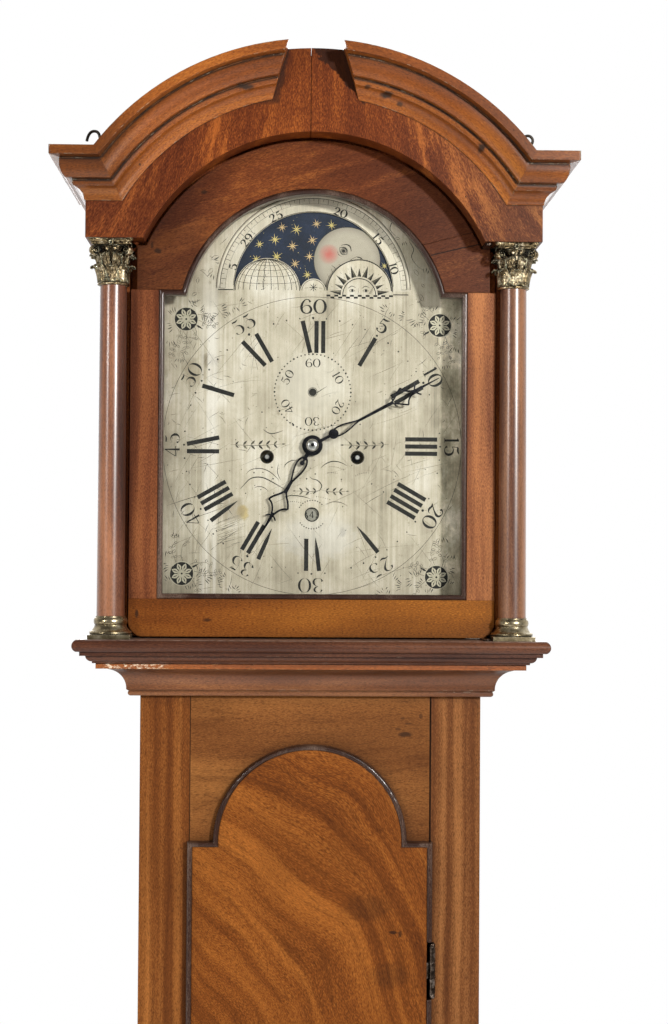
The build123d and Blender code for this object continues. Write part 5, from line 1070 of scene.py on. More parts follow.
for cx, cz, sx, sz in ((-127.7, ZC + 126.6, 1, -1), (127.9, ZC + 122.6, -1, -1), (-130.2, ZC - 129.4, 1, 1), (125.8, ZC - 131.6, -1, 1)):
    for stem in range(5):
        a0 = math.atan2(sz, sx) + (stem - 2) * 0.62 + rnd.uniform(-0.1, 0.1)
        x, z = cx + 12.5 * math.cos(a0), cz + 12.5 * math.sin(a0)
        ang = math.degrees(a0)
        pts = [(x, z, .45)]
        for k in range(5):
            ang += rnd.uniform(-34, 34)
            x += 5.2 * math.cos(math.radians(ang))
            z += 5.2 * math.sin(math.radians(ang))
            if not inside(x, z) or math.hypot(x, z - ZC) < 156 or math.hypot(x - cx, z - cz) < 12:
                break
            pts.append((x, z, .38 - 0.05 * k))
            for side in (-1, 1):
                if rnd.random() < 0.75:
                    lx, lz = x + 4.5 * math.cos(math.radians(ang + side * 55)), z + 4.5 * math.sin(math.radians(ang + side * 55))
                    if inside(lx, lz):
                        leaf(worn if rnd.random() < 0.6 else faint, x, z, ang + side * rnd.uniform(35, 70), rnd.uniform(3.2, 5.0), 0.2 * side)
        if len(pts) > 2:
            faint.curve(pts, 4)
    # a pointed bud from each rosette towards the ring
    a0 = math.atan2(sz, sx) + (0.25 if sx * sz < 0 else -0.25)
    black.ribbon([(cx + 11 * math.cos(a0), cz + 11 * math.sin(a0), .15), (cx + 14.5 * math.cos(a0), cz + 14.5 * math.sin(a0), 2.0),
                  (cx + 17 * math.cos(a0), cz + 17 * math.sin(a0), 1.2), (cx + 20 * math.cos(a0), cz + 20 * math.sin(a0), .1)])
def sprig(x, z, ang, n, size):
    """A small leaf cut with thin hatching strokes that fan out from its stem."""
    a0 = math.radians(ang)
    for k in range(n):
        q = k - (n - 1) / 2
        a = a0 + math.radians(q * rnd.uniform(10, 18))
        ox, oz = -math.sin(a0) * q * 1.75, math.cos(a0) * q * 1.75
        r0, L = rnd.uniform(-1.2, 1.2), size * rnd.uniform(.7, 1.5)
        c, s_ = math.cos(a), math.sin(a)
        bow = rnd.uniform(-.5, .5)
        (black if rnd.random() < .7 else worn).curve([
            (x + ox + r0 * c, z + oz + r0 * s_, .12), (x + ox + (r0 + L * .5) * c - bow * s_, z + oz + (r0 + L * .5) * s_ + bow * c, rnd.uniform(.5, .95)),
            (x + ox + (r0 + L) * c, z + oz + (r0 + L) * s_, .1)], 4)


for cx, cz, sx, sz in ((-127.7, ZC + 126.6, 1, -1), (127.9, ZC + 122.6, -1, -1), (-130.2, ZC - 129.4, 1, 1), (125.8, ZC - 131.6, -1, 1)):
    for dx, dz, ang, n, size in ((15, 7, 20, 5, 5), (20, -2, 80, 5, 4.5), (25, 4, -30, 4, 5), (36, 9, 10, 5, 4.5), (42, 3, 130, 4, 4),
                                 (55, 16, 40, 4, 4.2), (-13, 6, 120, 4, 4.5), (-14, -7, 200, 4, 4), (-16, -22, -80, 4, 4.5),
                                 (8, 15, 100, 4, 4), (-6, -40, -100, 4, 4), (48, 12, -60, 3, 4)):
        x, z = cx + sx * dx, cz - sz * dz if sz > 0 else cz + dz
        if inside(x, z) and math.hypot(x, z - ZC) > 153.5:
            sprig(x, z, ang if sx > 0 else 180 - ang, n, size)
for side in (-1, 1):
    for k in range(9):
        th = math.radians(10 + k * 8.6 + rnd.uniform(-2, 2))
        r = rnd.uniform(108, 127)
        x, z = side * r * math.cos(th), ZA + r * math.sin(th)
        if inside(x, z) and math.hypot(x, z - ZM) > 103:
            sprig(x, z, rnd.uniform(0, 360), 3, 4.2)
for side in (-1, 1):
    for k in range(13):
        th = math.radians(8 + k * 6.4)
        r = rnd.uniform(111, 127)
        x, z = side * r * math.cos(th), ZA + r * math.sin(th)
        if not inside(x, z) or math.hypot(x, z - ZM) < 102:
            continue
        leaf(worn if rnd.random() < 0.5 else faint, x, z, math.degrees(th) * side + (90 if side > 0 else 90) + rnd.uniform(-40, 40),
             rnd.uniform(4.5, 8.5), rnd.uniform(-.3, .3))
black.curve([(-2, 2045, .25), (5, 2045.6, 1.3), (12, 2045.2, 1.6), (19, 2043.6, .9), (22, 2041.6, .3)], 5)
black.curve([(-122, 1975, .3), (-117, 1984, .9), (-112, 1990, .5), (-106, 1996, .2)], 5)
worn.curve([(-86, 2018, .2), (-82, 2023, .9), (-79, 2027, .3)], 5)
black.curve([(36, 2040, .2), (42, 2036.5, 1.0), (48, 2036, .6), (50, 2033, .2)], 5)
worn.curve([(74, 2030, .2), (79, 2023, .8), (77, 2014, .6), (84, 2006, .2)], 5)
worn.curve([(96, 2003, .2), (101, 1994, .8), (99, 1986, .6), (105, 1977, .3), (111, 1973, .2)], 5)

# ---- scratches across the plate
for k in range(150):
    x = rnd.choice((-1, -1, 1)) * rnd.uniform(60, 146)
    z = rnd.uniform(1646, 2020)
    ang, L = math.radians(rnd.uniform(0, 180)), rnd.uniform(3, 13)
    x1, z1 = x + L * math.cos(ang), z + L * math.sin(ang)
    if inside(x, z) and inside(x1, z1) and (z < 1948 or math.hypot(x, z - ZM) > 101):
        bow = rnd.uniform(-1, 1)
        (black if k % 3 else worn).curve([(x, z, .1), ((x + x1) / 2 - bow * math.sin(ang), (z + z1) / 2 + bow * math.cos(ang), rnd.uniform(.26, .5)), (x1, z1, .08)], 4)
for k in range(190):
    x, z = rnd.uniform(-146, 146), rnd.uniform(1646, 1944)
    ang = math.radians(rnd.choice([22, 28, 58, 62, -48, -55, 12, 80]) + rnd.uniform(-8, 8))
    L = rnd.uniform(6, 42) if rnd.random() < 0.8 else rnd.uniform(40, 80)
    x1, z1 = x + L * math.cos(ang), z + L * math.sin(ang)
    if not (abs(x1) < 148 and 1644 < z1 < 1944):
        continue
    xm, zm = (x + x1) / 2 + rnd.uniform(-1.2, 1.2), (z + z1) / 2 + rnd.uniform(-1.2, 1.2)
    w = rnd.uniform(0.16, 0.36)
    faint.curve([(x, z, 0.05), (xm, zm, w), (x1, z1, 0.05)], 5)
for x, z, x1, z1, w in ((-146, 1733, -104, 1746, .55), (-130, 1716, -92, 1730, .4), (-100, 1690, -70, 1712, .5), (44, 1892, 58, 1916, .35),
                        (52, 1735, 72, 1747, .5), (-70, 1878, -50, 1905, .3), (-62, 1866, -58, 1898, .3), (28, 1880, 47, 1906, .3)):
    worn.curve([(x, z, .08), ((x + x1) / 2, (z + z1) / 2 + .6, w), (x1, z1, .08)], 5)
for k in range(16):
    x, z = -97 + rnd.uniform(-3, 10), ZC - 78 - k * 1.4 + rnd.uniform(-.6, .6)
    worn.line(x, z, x + rnd.uniform(14, 28), z + rnd.uniform(4, 10), rnd.uniform(.2, .45), .08)
# dents and pits
for k in range(210):
    x, z = rnd.uniform(-148, 148), rnd.uniform(1645, 1944)
    (worn if k % 4 else black).disc(x, z, rnd.uniform(0.18, 0.55), 7)

# ---- lunar scale, days 1 to 29 and a half
for r, w, dr in ((94.2, 0.5, black), (88.8, 0.24, faint), (98.0, 0.45, worn)):
    dr.ring(0, ZM, r, w, 1.5, 178.5, 96)
for i in range(59):
    a = math.radians(180 - (i + 0.5) * 180 / 59)
    r0 = 88.8 if i % 2 == 0 else 91.4
    (black if i % 6 == 0 else worn).line(r0 * math.cos(a), ZM + r0 * math.sin(a), 93.8 * math.cos(a), ZM + 93.8 * math.sin(a), 0.36, 0.42)
rib_v, rib_f = [], []
for i in range(97):
    a = math.radians(1.5 + 177 * i / 96)
    for j in range(9):
        b = math.pi * j / 8
        r = 96.1 - 1.55 * math.cos(b)
        rib_v.append((r * math.cos(a) * .001, (-30.0 - 0.95 * math.sin(b)) * .001, (ZM + r * math.sin(a)) * .001))
for i in range(96):
    for j in range(8):
        k = i * 9 + j
        rib_f.append((k, k + 9, k + 10, k + 1))
    rib_f.append((i * 9 + 8, i * 9 + 17, i * 9 + 9, i * 9))
rib_f += [tuple(range(0, 9)), tuple(range(96 * 9 + 8, 96 * 9 - 1, -1))]
rib_m = bpy.data.meshes.new("dial_lunar_rib")
rib_m.from_pydata(rib_v, [], rib_f)
rib_m.validate()
rib_m.materials.append(M["dial"])
for poly in rib_m.polygons:
    poly.use_smooth = len(poly.vertices) == 4
rib = link(rib_m, "dial_lunar_rib")
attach(rib, "case")
for text, ang in (("5", -73.5), ("29", -53), ("25", -27), ("20", 18.5), ("15", 50.5), ("10", 73.5)):
    number(black, text, 0, ZM, 84.6, ang, 7.8, 1.5, 0.08, 1.0)
for text, ang, r in (("1", -46.2, 86.2), ("2", -46.2, 82.4)):
    number(black, text, 0, ZM, r, ang, 3.2, 1.0, 0.1, 0.9)
black.line(-96, ZM + 1.0, -80.8, ZM + 1.0, 1.0)
black.line(80.8, ZM - 2.6, 96, ZM - 2.6, 1.0)
worn.ring(0, ZM, 80.9, 0.5, 4, 176, 90)

# ---- left hump: a globe's meridians and parallels
gx, gz, gr = -46.3, ZM, 33.0
worn.ring(gx, gz, gr - 0.6, 0.75, 1, 179, 60)
for lon in (-67, -50, -34, -20, -7, 7, 20, 34, 50, 67):
    s = math.sin(math.radians(lon))
    worn.ribbon([(gx + gr * 0.97 * s * math.cos(math.radians(p)), gz + gr * 0.97 * math.sin(math.radians(p)), .55)
                  for p in range(2, 87, 6)])
for lat in (16, 30, 44, 58, 71):
    a = math.radians(lat)
    worn.ribbon([(gx + gr * 0.97 * math.cos(a) * math.sin(math.radians(lo)),
                   gz + gr * 0.97 * (math.sin(a) - 0.10 * (math.cos(math.radians(lo)) - 0.5)), .36) for lo in range(-86, 87, 8)])
for k in range(80):
    a, r = math.radians(rnd.uniform(4, 176)), gr * math.sqrt(rnd.uniform(0, .9))
    x, z = gx + r * math.cos(a), gz + r * math.sin(a)
    if z > gz + 1.5:
        worn.line(x, z, x + rnd.uniform(-1.8, 1.8), z + rnd.uniform(-1.4, 1.4), rnd.uniform(.2, .5), 0.1)
for k in range(8):
    worn.line(gx - 4 + rnd.uniform(-2.5, 2.5), gz + 1 + k * 3.4, gx - 3 + rnd.uniform(-2.5, 2.5), gz + 3.6 + k * 3.4, .42, .2)

# ---- right hump: a rayed half sun over a chequered band
sx_, sz_, sr = 46.3, ZM - 3.2, 33.0
black.ring(sx_, sz_ + 3.2, sr - 0.55, 1.15, 2, 178, 60)
black.ring(sx_, sz_, 16.6, 0.85, 1, 179, 40)
for i in range(11):
    a = math.radians(7 + i * 16.6)
    L = 30.4 if i % 2 == 0 else 27.0
    w = 2.5 if i % 2 == 0 else 1.8
    c, s = math.cos(a), math.sin(a)
    tip = (sx_ + L * c, sz_ + L * s)
    b0 = (sx_ + 18.6 * c + w * s, sz_ + 18.6 * s - w * c)
    b1 = (sx_ + 18.6 * c - w * s, sz_ + 18.6 * s + w * c)
    mid = (sx_ + 18.6 * c, sz_ + 18.6 * s)
    black.poly([tip, mid, b1] if c < 0 else [tip, b0, mid])
    faint.poly([tip, mid, b0] if c < 0 else [tip, b1, mid])
    black.line(*b0, *tip, 0.25, 0.1)
    black.line(*b1, *tip, 0.25, 0.1)
    for k in range(5):
        q = 17.6 + k * 2.6
        a2 = a + math.radians(7)
        if k % 2 == 0 and a2 < math.pi - 0.03:
            faint.line(sx_ + q * math.cos(a2), sz_ + q * math.sin(a2), sx_ + (q + 1.8) * math.cos(a2), sz_ + (q + 1.8) * math.sin(a2), .4, .1)
for e in (-7.2, 6.6):
    worn.curve([(sx_ + e - 4.2, sz_ + 6.6, .2), (sx_ + e - .4, sz_ + 9.0, .7), (sx_ + e + 3.9, sz_ + 7.4, .2)], 5)
    worn.curve([(sx_ + e - 3.2, sz_ + 4.2, .2), (sx_ + e, sz_ + 5.8, .55), (sx_ + e + 3.0, sz_ + 4.2, .2)], 5)
    worn.curve([(sx_ + e - 3.2, sz_ + 4.2, .2), (sx_ + e, sz_ + 3.0, .35), (sx_ + e + 3.0, sz_ + 4.2, .2)], 5)
    black.disc(sx_ + e + .2, sz_ + 4.4, 1.15, 14)
for k in range(9):
    faint.line(sx_ + 9.5 + k * .5, sz_ + 1.2 + k * .8, sx_ + 13.2 + k * .12, sz_ + 2.0 + k * .8, .45, .1)
faint.curve([(sx_ - 1.2, sz_ + 7.0, .2), (sx_ - .9, sz_ + 3.4, .4), (sx_ - 1.4, sz_ + .6, .3)], 5)
for row in (0, 1):
    for k in range(17):
        if (k + row) % 2 == 0:
            x = sx_ - 33 + k * 3.95
            z = ZM - 4.0 - row * 1.9
            black.poly([(x, z - .95), (x + 3.9, z - .95), (x + 3.9, z + .95), (x, z + .95)])
# ---- centre hump: a small knot
worn.ring(0, ZM + 0.2, 11.6, .5, 4, 176, 36)
for a in range(0, 360, 45):
    c, s = math.cos(math.radians(a)), math.sin(math.radians(a))
    black.ribbon([(1.0 * c, ZM + 4 + 1.0 * s, .2), (2.6 * c, ZM + 4 + 2.6 * s, .8), (4.4 * c, ZM + 4 + 4.4 * s, .1)])
black.disc(0, ZM + 4, 1.2, 12)
for s in (-1, 1):
    worn.line(s * 5.4, ZM + 3.6, s * 9.2, ZM + 3.2, .5, .15)

black.build("dial_numerals", M["ink"], "case", "silvered_brass")
worn.build("dial_engraving_fine", M["ink_soft"], "case", "silvered_brass", 0.00005)
faint.build("dial_engraving_rubbed", M["ink_faint"], "case", "silvered_brass", 0.00004)
pale.build("dial_rosette_petals", M["pale"], "case", "silvered_brass", 0.00004)
inkpt.build("dial_rosette_veins", M["ink"], "case", "silvered_brass", 0.00004)

# ------------------------------------------------------------------ moon disc
Y_MOON = -26.96
stars, stars2 = Drawing(Y_MOON), Drawing(Y_MOON)


def star(dr, x, z, r, turn):
    for i in range(8):
        a = math.radians(turn + 45 * i)
        L = r * (1.06 if i % 2 == 0 else 0.82)
        c, s = math.cos(a), math.sin(a)
        w = r * 0.062
        dr.poly([(x + L * c, z + L * s), (x + 0.22 * L * c - w * s, z + 0.22 * L * s + w * c), (x, z),
                 (x + 0.22 * L * c + w * s, z + 0.22 * L * s - w * c)])


SKY = [(-54.6, 47.6, 4.4, 0), (-39.0, 52.6, 5.4, 0), (-31.8, 65.0, 4.6, 1), (-17.2, 63.0, 5.4, 0), (-21.3, 46.2, 5.2, 1),
       (-37.3, 35.3, 5.4, 0), (-58, 32.5, 4.6, 0), (-18.6, 28.3, 5.0, 1), (-6.2, 17.2, 4.6, 0), (-4.1, 35.8, 4.8, 1),
       (-1.3, 52.4, 5.0, 1), (2.8, 69.0, 4.6, 1), (18.0, 67.7, 4.8, 0), (71.8, 27.0, 3.6, 0)]
taken = []
for half in (0, 1):
    for x, z, r, kind in SKY:
        if half:
            x, z = -x, -z
        taken.append((x, z))
        star(stars2 if kind else stars, x, ZM + z, 1.18 * r, rnd.uniform(0, 45))
for k in range(90):
    a, r = rnd.uniform(0, 2 * math.pi), rnd.uniform(12, 82)
    x, z = r * math.cos(a), r * math.sin(a)
    near = min(math.hypot(x - p, z - q) for p, q in taken)
    mo = min(math.hypot(x - s * 33.9, z - s * 32.3) for s in (1, -1))
    if near > 6 and mo > 36:
        stars.disc(x, ZM + z, rnd.uniform(0.18, 0.42), 6)
stars.build("moon_disc_stars", M["gold"], "moon", "painted_disc", 0.00004)
stars2.build("moon_disc_stars_copper", M["gold_red"], "moon", "painted_disc", 0.00004)


def moon_face(sign, name):
    """A low painted disc with its colours held on the vertices."""
    ang = math.radians(43.6)
    cx, cz, R = sign * 46.8 * math.cos(ang), sign * 46.8 * math.sin(ang), 33.8
    ox, oz = math.cos(ang) * sign, math.sin(ang) * sign        # the face's up
    rx, rz = oz, -ox                                           # the face's right, as seen from the front
    rings, seg = 26, 96
    v, cols, f = [(cx, cz)], [], []
    for i in range(1, rings + 1):
        for j in range(seg):
            a = 2 * math.pi * j / seg
            v.append((cx + R * i / rings * math.cos(a), cz + R * i / rings * math.sin(a)))
    for j in range(seg):
        f.append((0, 1 + j, 1 + (j + 1) % seg))
    for i in range(rings - 1):
        for j in range(seg):
            a, b = 1 + i * seg + j, 1 + i * seg + (j + 1) % seg
            f.append((a, a + seg, b + seg, b))
    m = bpy.data.meshes.new(name)
    m.from_pydata([(p[0] * .001, (Y_MOON - 0.005) * .001, (p[1] + ZM) * .001) for p in v], [], f)
    att = m.color_attributes.new("paint", "FLOAT_COLOR", "POINT")
    for k, p in enumerate(v):
        dx, dz = p[0] - cx, p[1] - cz
        u, w = (dx * rx + dz * rz), (dx * ox + dz * oz)
        d = math.hypot(dx, dz) / R
        c = np.array([0.462, 0.418, 0.335])
        rim = max(0.0, (d - 0.72) / 0.28) ** 1.8
        c = c * (1 - 0.38 * rim)
        side = max(0.0, (-u * 0.5 - w * 0.75) / R - 0.25)
        c = c * (1 - 0.22 * min(1, side))
        for e in (-1, 1):
            q = math.hypot((u - e * 17.2) / 10.4, (w + 9.0) / 10.4)
            k2 = max(0.0, 1 - q) ** 0.7
            c = c * (1 - 0.92 * k2) + np.array([0.56, 0.10, 0.085]) * 0.92 * k2
            q2 = math.hypot((u - e * 9.3) / 6.6, (w - 4.4) / 4.6)
            k3 = max(0.0, 1 - q2)
            c = c * (1 - 0.30 * k3)
        nose = max(0.0, 1 - math.hypot((u - 2.6) / 2.6, (w + 3.0) / 8.5))
        c = c * (1 - 0.20 * nose)
        att.data[k].color = (c[0], c[1], c[2], 1)
    m.materials.append(M["moon"])
    o = link(m, name)
    s = o.modifiers.new("thickness", "SOLIDIFY")
    s.thickness, s.offset = 0.00004, -1.0
    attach(o, "moon")
    dr = Drawing(Y_MOON - 0.03)
    soft = Drawing(Y_MOON - 0.025)

    def pt(u, w, t_):
        return (cx + rx * u + ox * w, ZM + cz + rz * u + oz * w, t_)

    for e in (-1, 1):
        soft.curve([pt(e * 15.4, 6.0, .3), pt(e * 12.0, 10.6, 1.0), pt(e * 8.0, 11.8, 1.3), pt(e * 3.6, 9.4, .5)], 6)     # brow
        dr.curve([pt(e * 14.6, 3.4, .3), pt(e * 11.4, 6.8, 1.1), pt(e * 8.0, 7.2, 1.25), pt(e * 4.6, 4.2, .5)], 6)        # upper lid
        soft.curve([pt(e * 14.6, 3.4, .25), pt(e * 10.8, 0.8, .8), pt(e * 7.4, 0.9, .8), pt(e * 4.6, 4.2, .3)], 6)       # lower lid
        soft.curve([pt(e * 13.6, -.6, .15), pt(e * 10, -2.2, .5), pt(e * 6.0, -1.0, .15)], 5)
        dr.disc(*pt(e * 9.3, 4.0, 0)[:2], 1.75, 18)
        soft.ring(*pt(e * 9.3, 4.0, 0)[:2], 2.5, .5, n=20)
    soft.curve([pt(3.6, 9.0, .3), pt(2.2, 3.0, .5), pt(2.6, -3.0, .65), pt(4.2, -7.2, .8), pt(2.8, -9.2, .75), pt(0.4, -8.6, .6), pt(-2.4, -8.8, .5)], 6)
    dr.curve([pt(-7.0, -15.0, .2), pt(-3.2, -14.2, .55), pt(0, -15.2, .6), pt(3.2, -14.2, .55), pt(7.0, -15.0, .2)], 6)
    soft.curve([pt(-5.0, -17.4, .15), pt(0, -19.2, .55), pt(5.0, -17.4, .15)], 6)
    soft.curve([pt(-4.0, -24.0, .1), pt(0, -25.0, .3), pt(4.0, -24.0, .1)], 6)
    soft.ring(cx, ZM + cz, R - 0.25, 0.5, n=96)
    dr.build(name + "_lines", M["ink"], "moon", "painted_disc", 0.00002)
    soft.build(name + "_shading", M["ink_soft"], "moon", "painted_disc", 0.00002)


moon_face(1, "moon_face")
moon_face(-1, "moon_face_second")

# ------------------------------------------------------------------ date disc: 1 to 31
dates = Drawing(Y_MOON)
for n in range(1, 32):
    ang = (n - 4) * 360.0 / 31
    number(dates, str(n), 0, 1692.2, 33.0, ang, 6.6 if n < 10 else 4.8, 1.25, 0.06, 0.95 if n < 10 else 0.72)
dates.ring(0, 1692.2, 42.2, .35, n=90)
dates.build("date_disc_numbers", M["ink"], "date", "painted_disc", 0.00004)


# ------------------------------------------------------------------ cast capitals
class Solid:
    def __init__(self):
        self.v, self.f = [], []

    def grid(self, rows, closed_u=False, closed_v=False, flip=False):
        """rows of points, each row the same length."""
        n, m, k = len(rows), len(rows[0]), len(self.v)
        for r in rows:
            self.v += [tuple(p) for p in r]
        for i in range(n if closed_v else n - 1):
            for j in range(m if closed_u else m - 1):
                a, b = k + i * m + j, k + i * m + (j + 1) % m
                c, d = k + ((i + 1) % n) * m + (j + 1) % m, k + ((i + 1) % n) * m + j
                self.f.append((a, d, c, b) if flip else (a, b, c, d))

    def cap(self, ring):
        k = len(self.v)
        self.v += [tuple(p) for p in ring]
        self.f.append(tuple(range(k, k + len(ring))))

    def tube(self, pts, frames, w, h):
        """A rounded bar along pts; frames give the two cross directions, w and h its half sizes."""
        rows = []
        for p, (n, b), a, c in zip(pts, frames, w, h):
            row = []
            for q in range(10):
                t_ = 2 * math.pi * q / 10
                cc, ss = math.cos(t_), math.sin(t_)
                cc = math.copysign(abs(cc) ** 0.7, cc)
                ss = math.copysign(abs(ss) ** 0.7, ss)
                row.append(tuple(np.array(p) + np.array(n) * cc * c + np.array(b) * ss * a))
            rows.append(row)
        self.grid(rows, closed_u=True)
        self.cap(rows[0][::-1])
        self.cap(rows[-1])


def lathe(so, profile, seg=48):
    rows = [[(r * math.cos(2 * math.pi * j / seg), r * math.sin(2 * math.pi * j / seg), z) for j in range(seg)] for r, z in profile]
    so.grid(rows, closed_u=True)
    so.cap(rows[0][::-1])
    so.cap(rows[-1])


def acanthus(so, phi, zb, h, w, rb, lean, rc):
    """One leaf: a lobed blade that hugs the bell, then curls over."""
    thick = 0.75
    front, back = [], []
    nv, nu = 26, 17
    for i in range(nv):
        v = i / (nv - 1)
        if v < 0.76:
            s = v / 0.76
            r, z, nr, nz = rb + lean * s * s, zb + h * s, 1.0, 0.0
        else:
            s = (v - 0.76) / 0.24 * math.pi * 0.95
            r = rb + lean + rc * (1 - math.cos(s))
            z = zb + h + rc * math.sin(s)
            nr, nz = math.cos(s), -math.sin(s)
        lobes = 0.80 + 0.20 * abs(math.cos(v * math.pi * 4.0)) ** 0.6
        hw = w * (0.62 + 0.50 * math.sin(min(1.0, v / 0.8) * math.pi * 0.72)) * lobes
        if v > 0.80:
            hw *= 1 - 0.62 * ((v - 0.80) / 0.20) ** 1.5
        fr, bk = [], []
        for j in range(nu):
            u = -1 + 2 * j / (nu - 1)
            ridge = 0.75 * math.exp(-(u / 0.16) ** 2) + 0.42 * math.cos(u * math.pi * 4.0) * (1 - abs(u) * 0.3) - 0.9 * u * u
            ridge += 0.30 * math.cos((v * 4.0 - abs(u) * 1.3) * 2 * math.pi) * abs(u)
            rr = r + ridge * nr
            zz = z + ridge * nz
            a = phi + u * hw / max(r, 1)
            fr.append((rr * math.cos(a), rr * math.sin(a), zz))
            rr2, zz2 = rr - thick * nr, zz - thick * nz
            bk.append((rr2 * math.cos(a), rr2 * math.sin(a), zz2))
        front.append(fr)
        back.append(bk)
    loop = [f + b[::-1] for f, b in zip(front, back)]
    so.grid(loop, closed_u=True)
    so.cap(loop[0][::-1])
    so.cap(loop[-1])


def volute(so, phi, r0, z0, rc, zc, R, wid):
    """A scroll standing on the diagonal: a stalk that rises and rolls up."""
    pts = []
    for i in range(9):
        s = i / 8
        pts.append((r0 + (rc - R * 0.15 - r0) * s ** 1.7, z0 + (zc + R - z0) * (1 - (1 - s) ** 1.5)))
    for i in range(1, 40):
        a = math.pi * 0.55 - i / 39 * math.pi * 3.6
        q = R * (1 - 0.80 * i / 39)
        pts.append((rc + q * math.cos(a), zc + q * math.sin(a)))
    n = len(pts)
    P, F, A, C = [], [], [], []
    for i, (r, z) in enumerate(pts):
        a, b = pts[max(0, i - 1)], pts[min(n - 1, i + 1)]
        dr_, dz_ = b[0] - a[0], b[1] - a[1]
        L = math.hypot(dr_, dz_) or 1
        nr, nz = -dz_ / L, dr_ / L
        P.append((r * math.cos(phi), r * math.sin(phi), z))
        F.append(((nr * math.cos(phi), nr * math.sin(phi), nz), (-math.sin(phi), math.cos(phi), 0)))
        A.append(wid * (0.75 + 0.45 * min(1, i / 14)))
        C.append(0.72 if i < 12 else 0.62)
    so.tube(P, F, A, C)
    # the eye of the scroll
    seg = 16
    for s in (1,):
        rows = []
        for q, rad in ((-1.25, 0.2), (-1.15, 1.0), (1.15, 1.0), (1.25, 0.2)):
            rows.append([(
                (rc + rad * math.cos(2 * math.pi * k / seg)) * math.cos(phi) - q * wid * math.sin(phi),
                (rc + rad * math.cos(2 * math.pi * k / seg)) * math.sin(phi) + q * wid * math.cos(phi),
                zc + rad * math.sin(2 * math.pi * k / seg)) for k in range(seg)])
        so.grid(rows, closed_u=True)
        so.cap(rows[0][::-1])
        so.cap(rows[-1])


def abacus(so, half, z0, z1):
    """Hollow-sided slab with clipped corners and a moulded edge."""
    def outline(k):
        pts = []
        for side in range(4):
            ca, sa = math.cos(side * math.pi / 2), math.sin(side * math.pi / 2)
            for i in range(13):
                s = -1 + 2 * i / 12
                x = half * k - 3.4 * (1 - s * s) ** 1.0
                y = s * (half * k - 1.9)
                pts.append((x * ca - y * sa, x * sa + y * ca))
        return pts
    H = z1 - z0
    prof = [(0.80, 0), (0.88, 0.04), (0.90, 0.20), (0.90, 0.36), (0.94, 0.40), (0.965, 0.48), (0.975, 0.58), (1.0, 0.66), (1.0, 1.0)]
    rows = [[(x, y, z0 + H * t_) for x, y in outline(k)] for k, t_ in prof]
    so.grid(rows, closed_u=True)
    so.cap(rows[0][::-1])
    so.cap(rows[-1])


def capital_mesh():
    so = Solid()
    lathe(so, [(13.75, 0.0), (15.3, 0.3), (15.9, 1.3), (15.3, 2.4), (14.3, 2.8), (13.9, 3.6), (13.7, 6), (13.6, 18), (14.2, 28), (15.6, 35), (16.4, 38.4)])
    for k in range(8):
        acanthus(so, math.radians(45 * k), 3.0, 13.4, 5.4, 14.6, 2.4, 2.1)
    for k in range(8):
        acanthus(so, math.radians(45 * k + 22.5), 5.0, 22.4, 5.0, 14.0, 3.4, 2.3)
    for k in range(4):
        volute(so, math.radians(45 + 90 * k), 15.6, 20.0, 22.6, 32.4, 5.2, 2.3)
    for k in range(4):
        for s in (-1, 1):
            volute(so, math.radians(90 * k) + s * 0.21, 14.6, 25.0, 17.2, 34.4, 2.5, 1.1)
    abacus(so, 21.6, 38.3, 44.4)
    for k in range(4):
        c, s = math.cos(math.pi / 2 * k), math.sin(math.pi / 2 * k)
        for i in range(6):
            a = 2 * math.pi * i / 6
            rows = []
            for t_ in range(7):
                q = t_ / 6
                row = []
                for j in range(8):
                    b = 2 * math.pi * j / 8
                    rad = 1.15 * math.sin(math.pi * (0.08 + 0.84 * q))
                    along = 0.6 + q * 2.4
                    y = along * math.cos(a) - rad * math.cos(b) * math.sin(a)
                    z = along * math.sin(a) + rad * math.cos(b) * math.cos(a)
                    x = 18.0 + rad * 0.8 * math.sin(b) + 0.5 * q
                    row.append((x * c - y * s, x * s + y * c, 40.6 + z))
                rows.append(row)
            so.grid(rows, closed_u=True)
            so.cap(rows[0][::-1])
            so.cap(rows[-1])
    return so


base = capital_mesh()
vs, fs = [], []
for sx in (-1, 1):
    k = len(vs)
    vs += [((x + sx * (COL_X + 1.2 * min(1.0, z / 30))) * .001, (y + COL_Y) * .001, (z + 1947.05) * .001) for x, y, z in base.v]
    fs += [tuple(k + i for i in f) for f in base.f]
me = bpy.data.meshes.new("capitals_cast")
me.from_pydata(vs, [], fs)
me.validate()
me.materials.append(M["brass_cast"])
cap = link(me, "capitals_cast")
bpy.context.view_layer.objects.active = cap
for p in me.polygons:
    p.use_smooth = len(p.vertices) == 4
import bmesh
bm = bmesh.new()
bm.from_mesh(me)
bmesh.ops.recalc_face_normals(bm, faces=bm.faces)
bm.to_mesh(me)
bm.free()
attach(cap, "hood")
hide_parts("column_capitals")


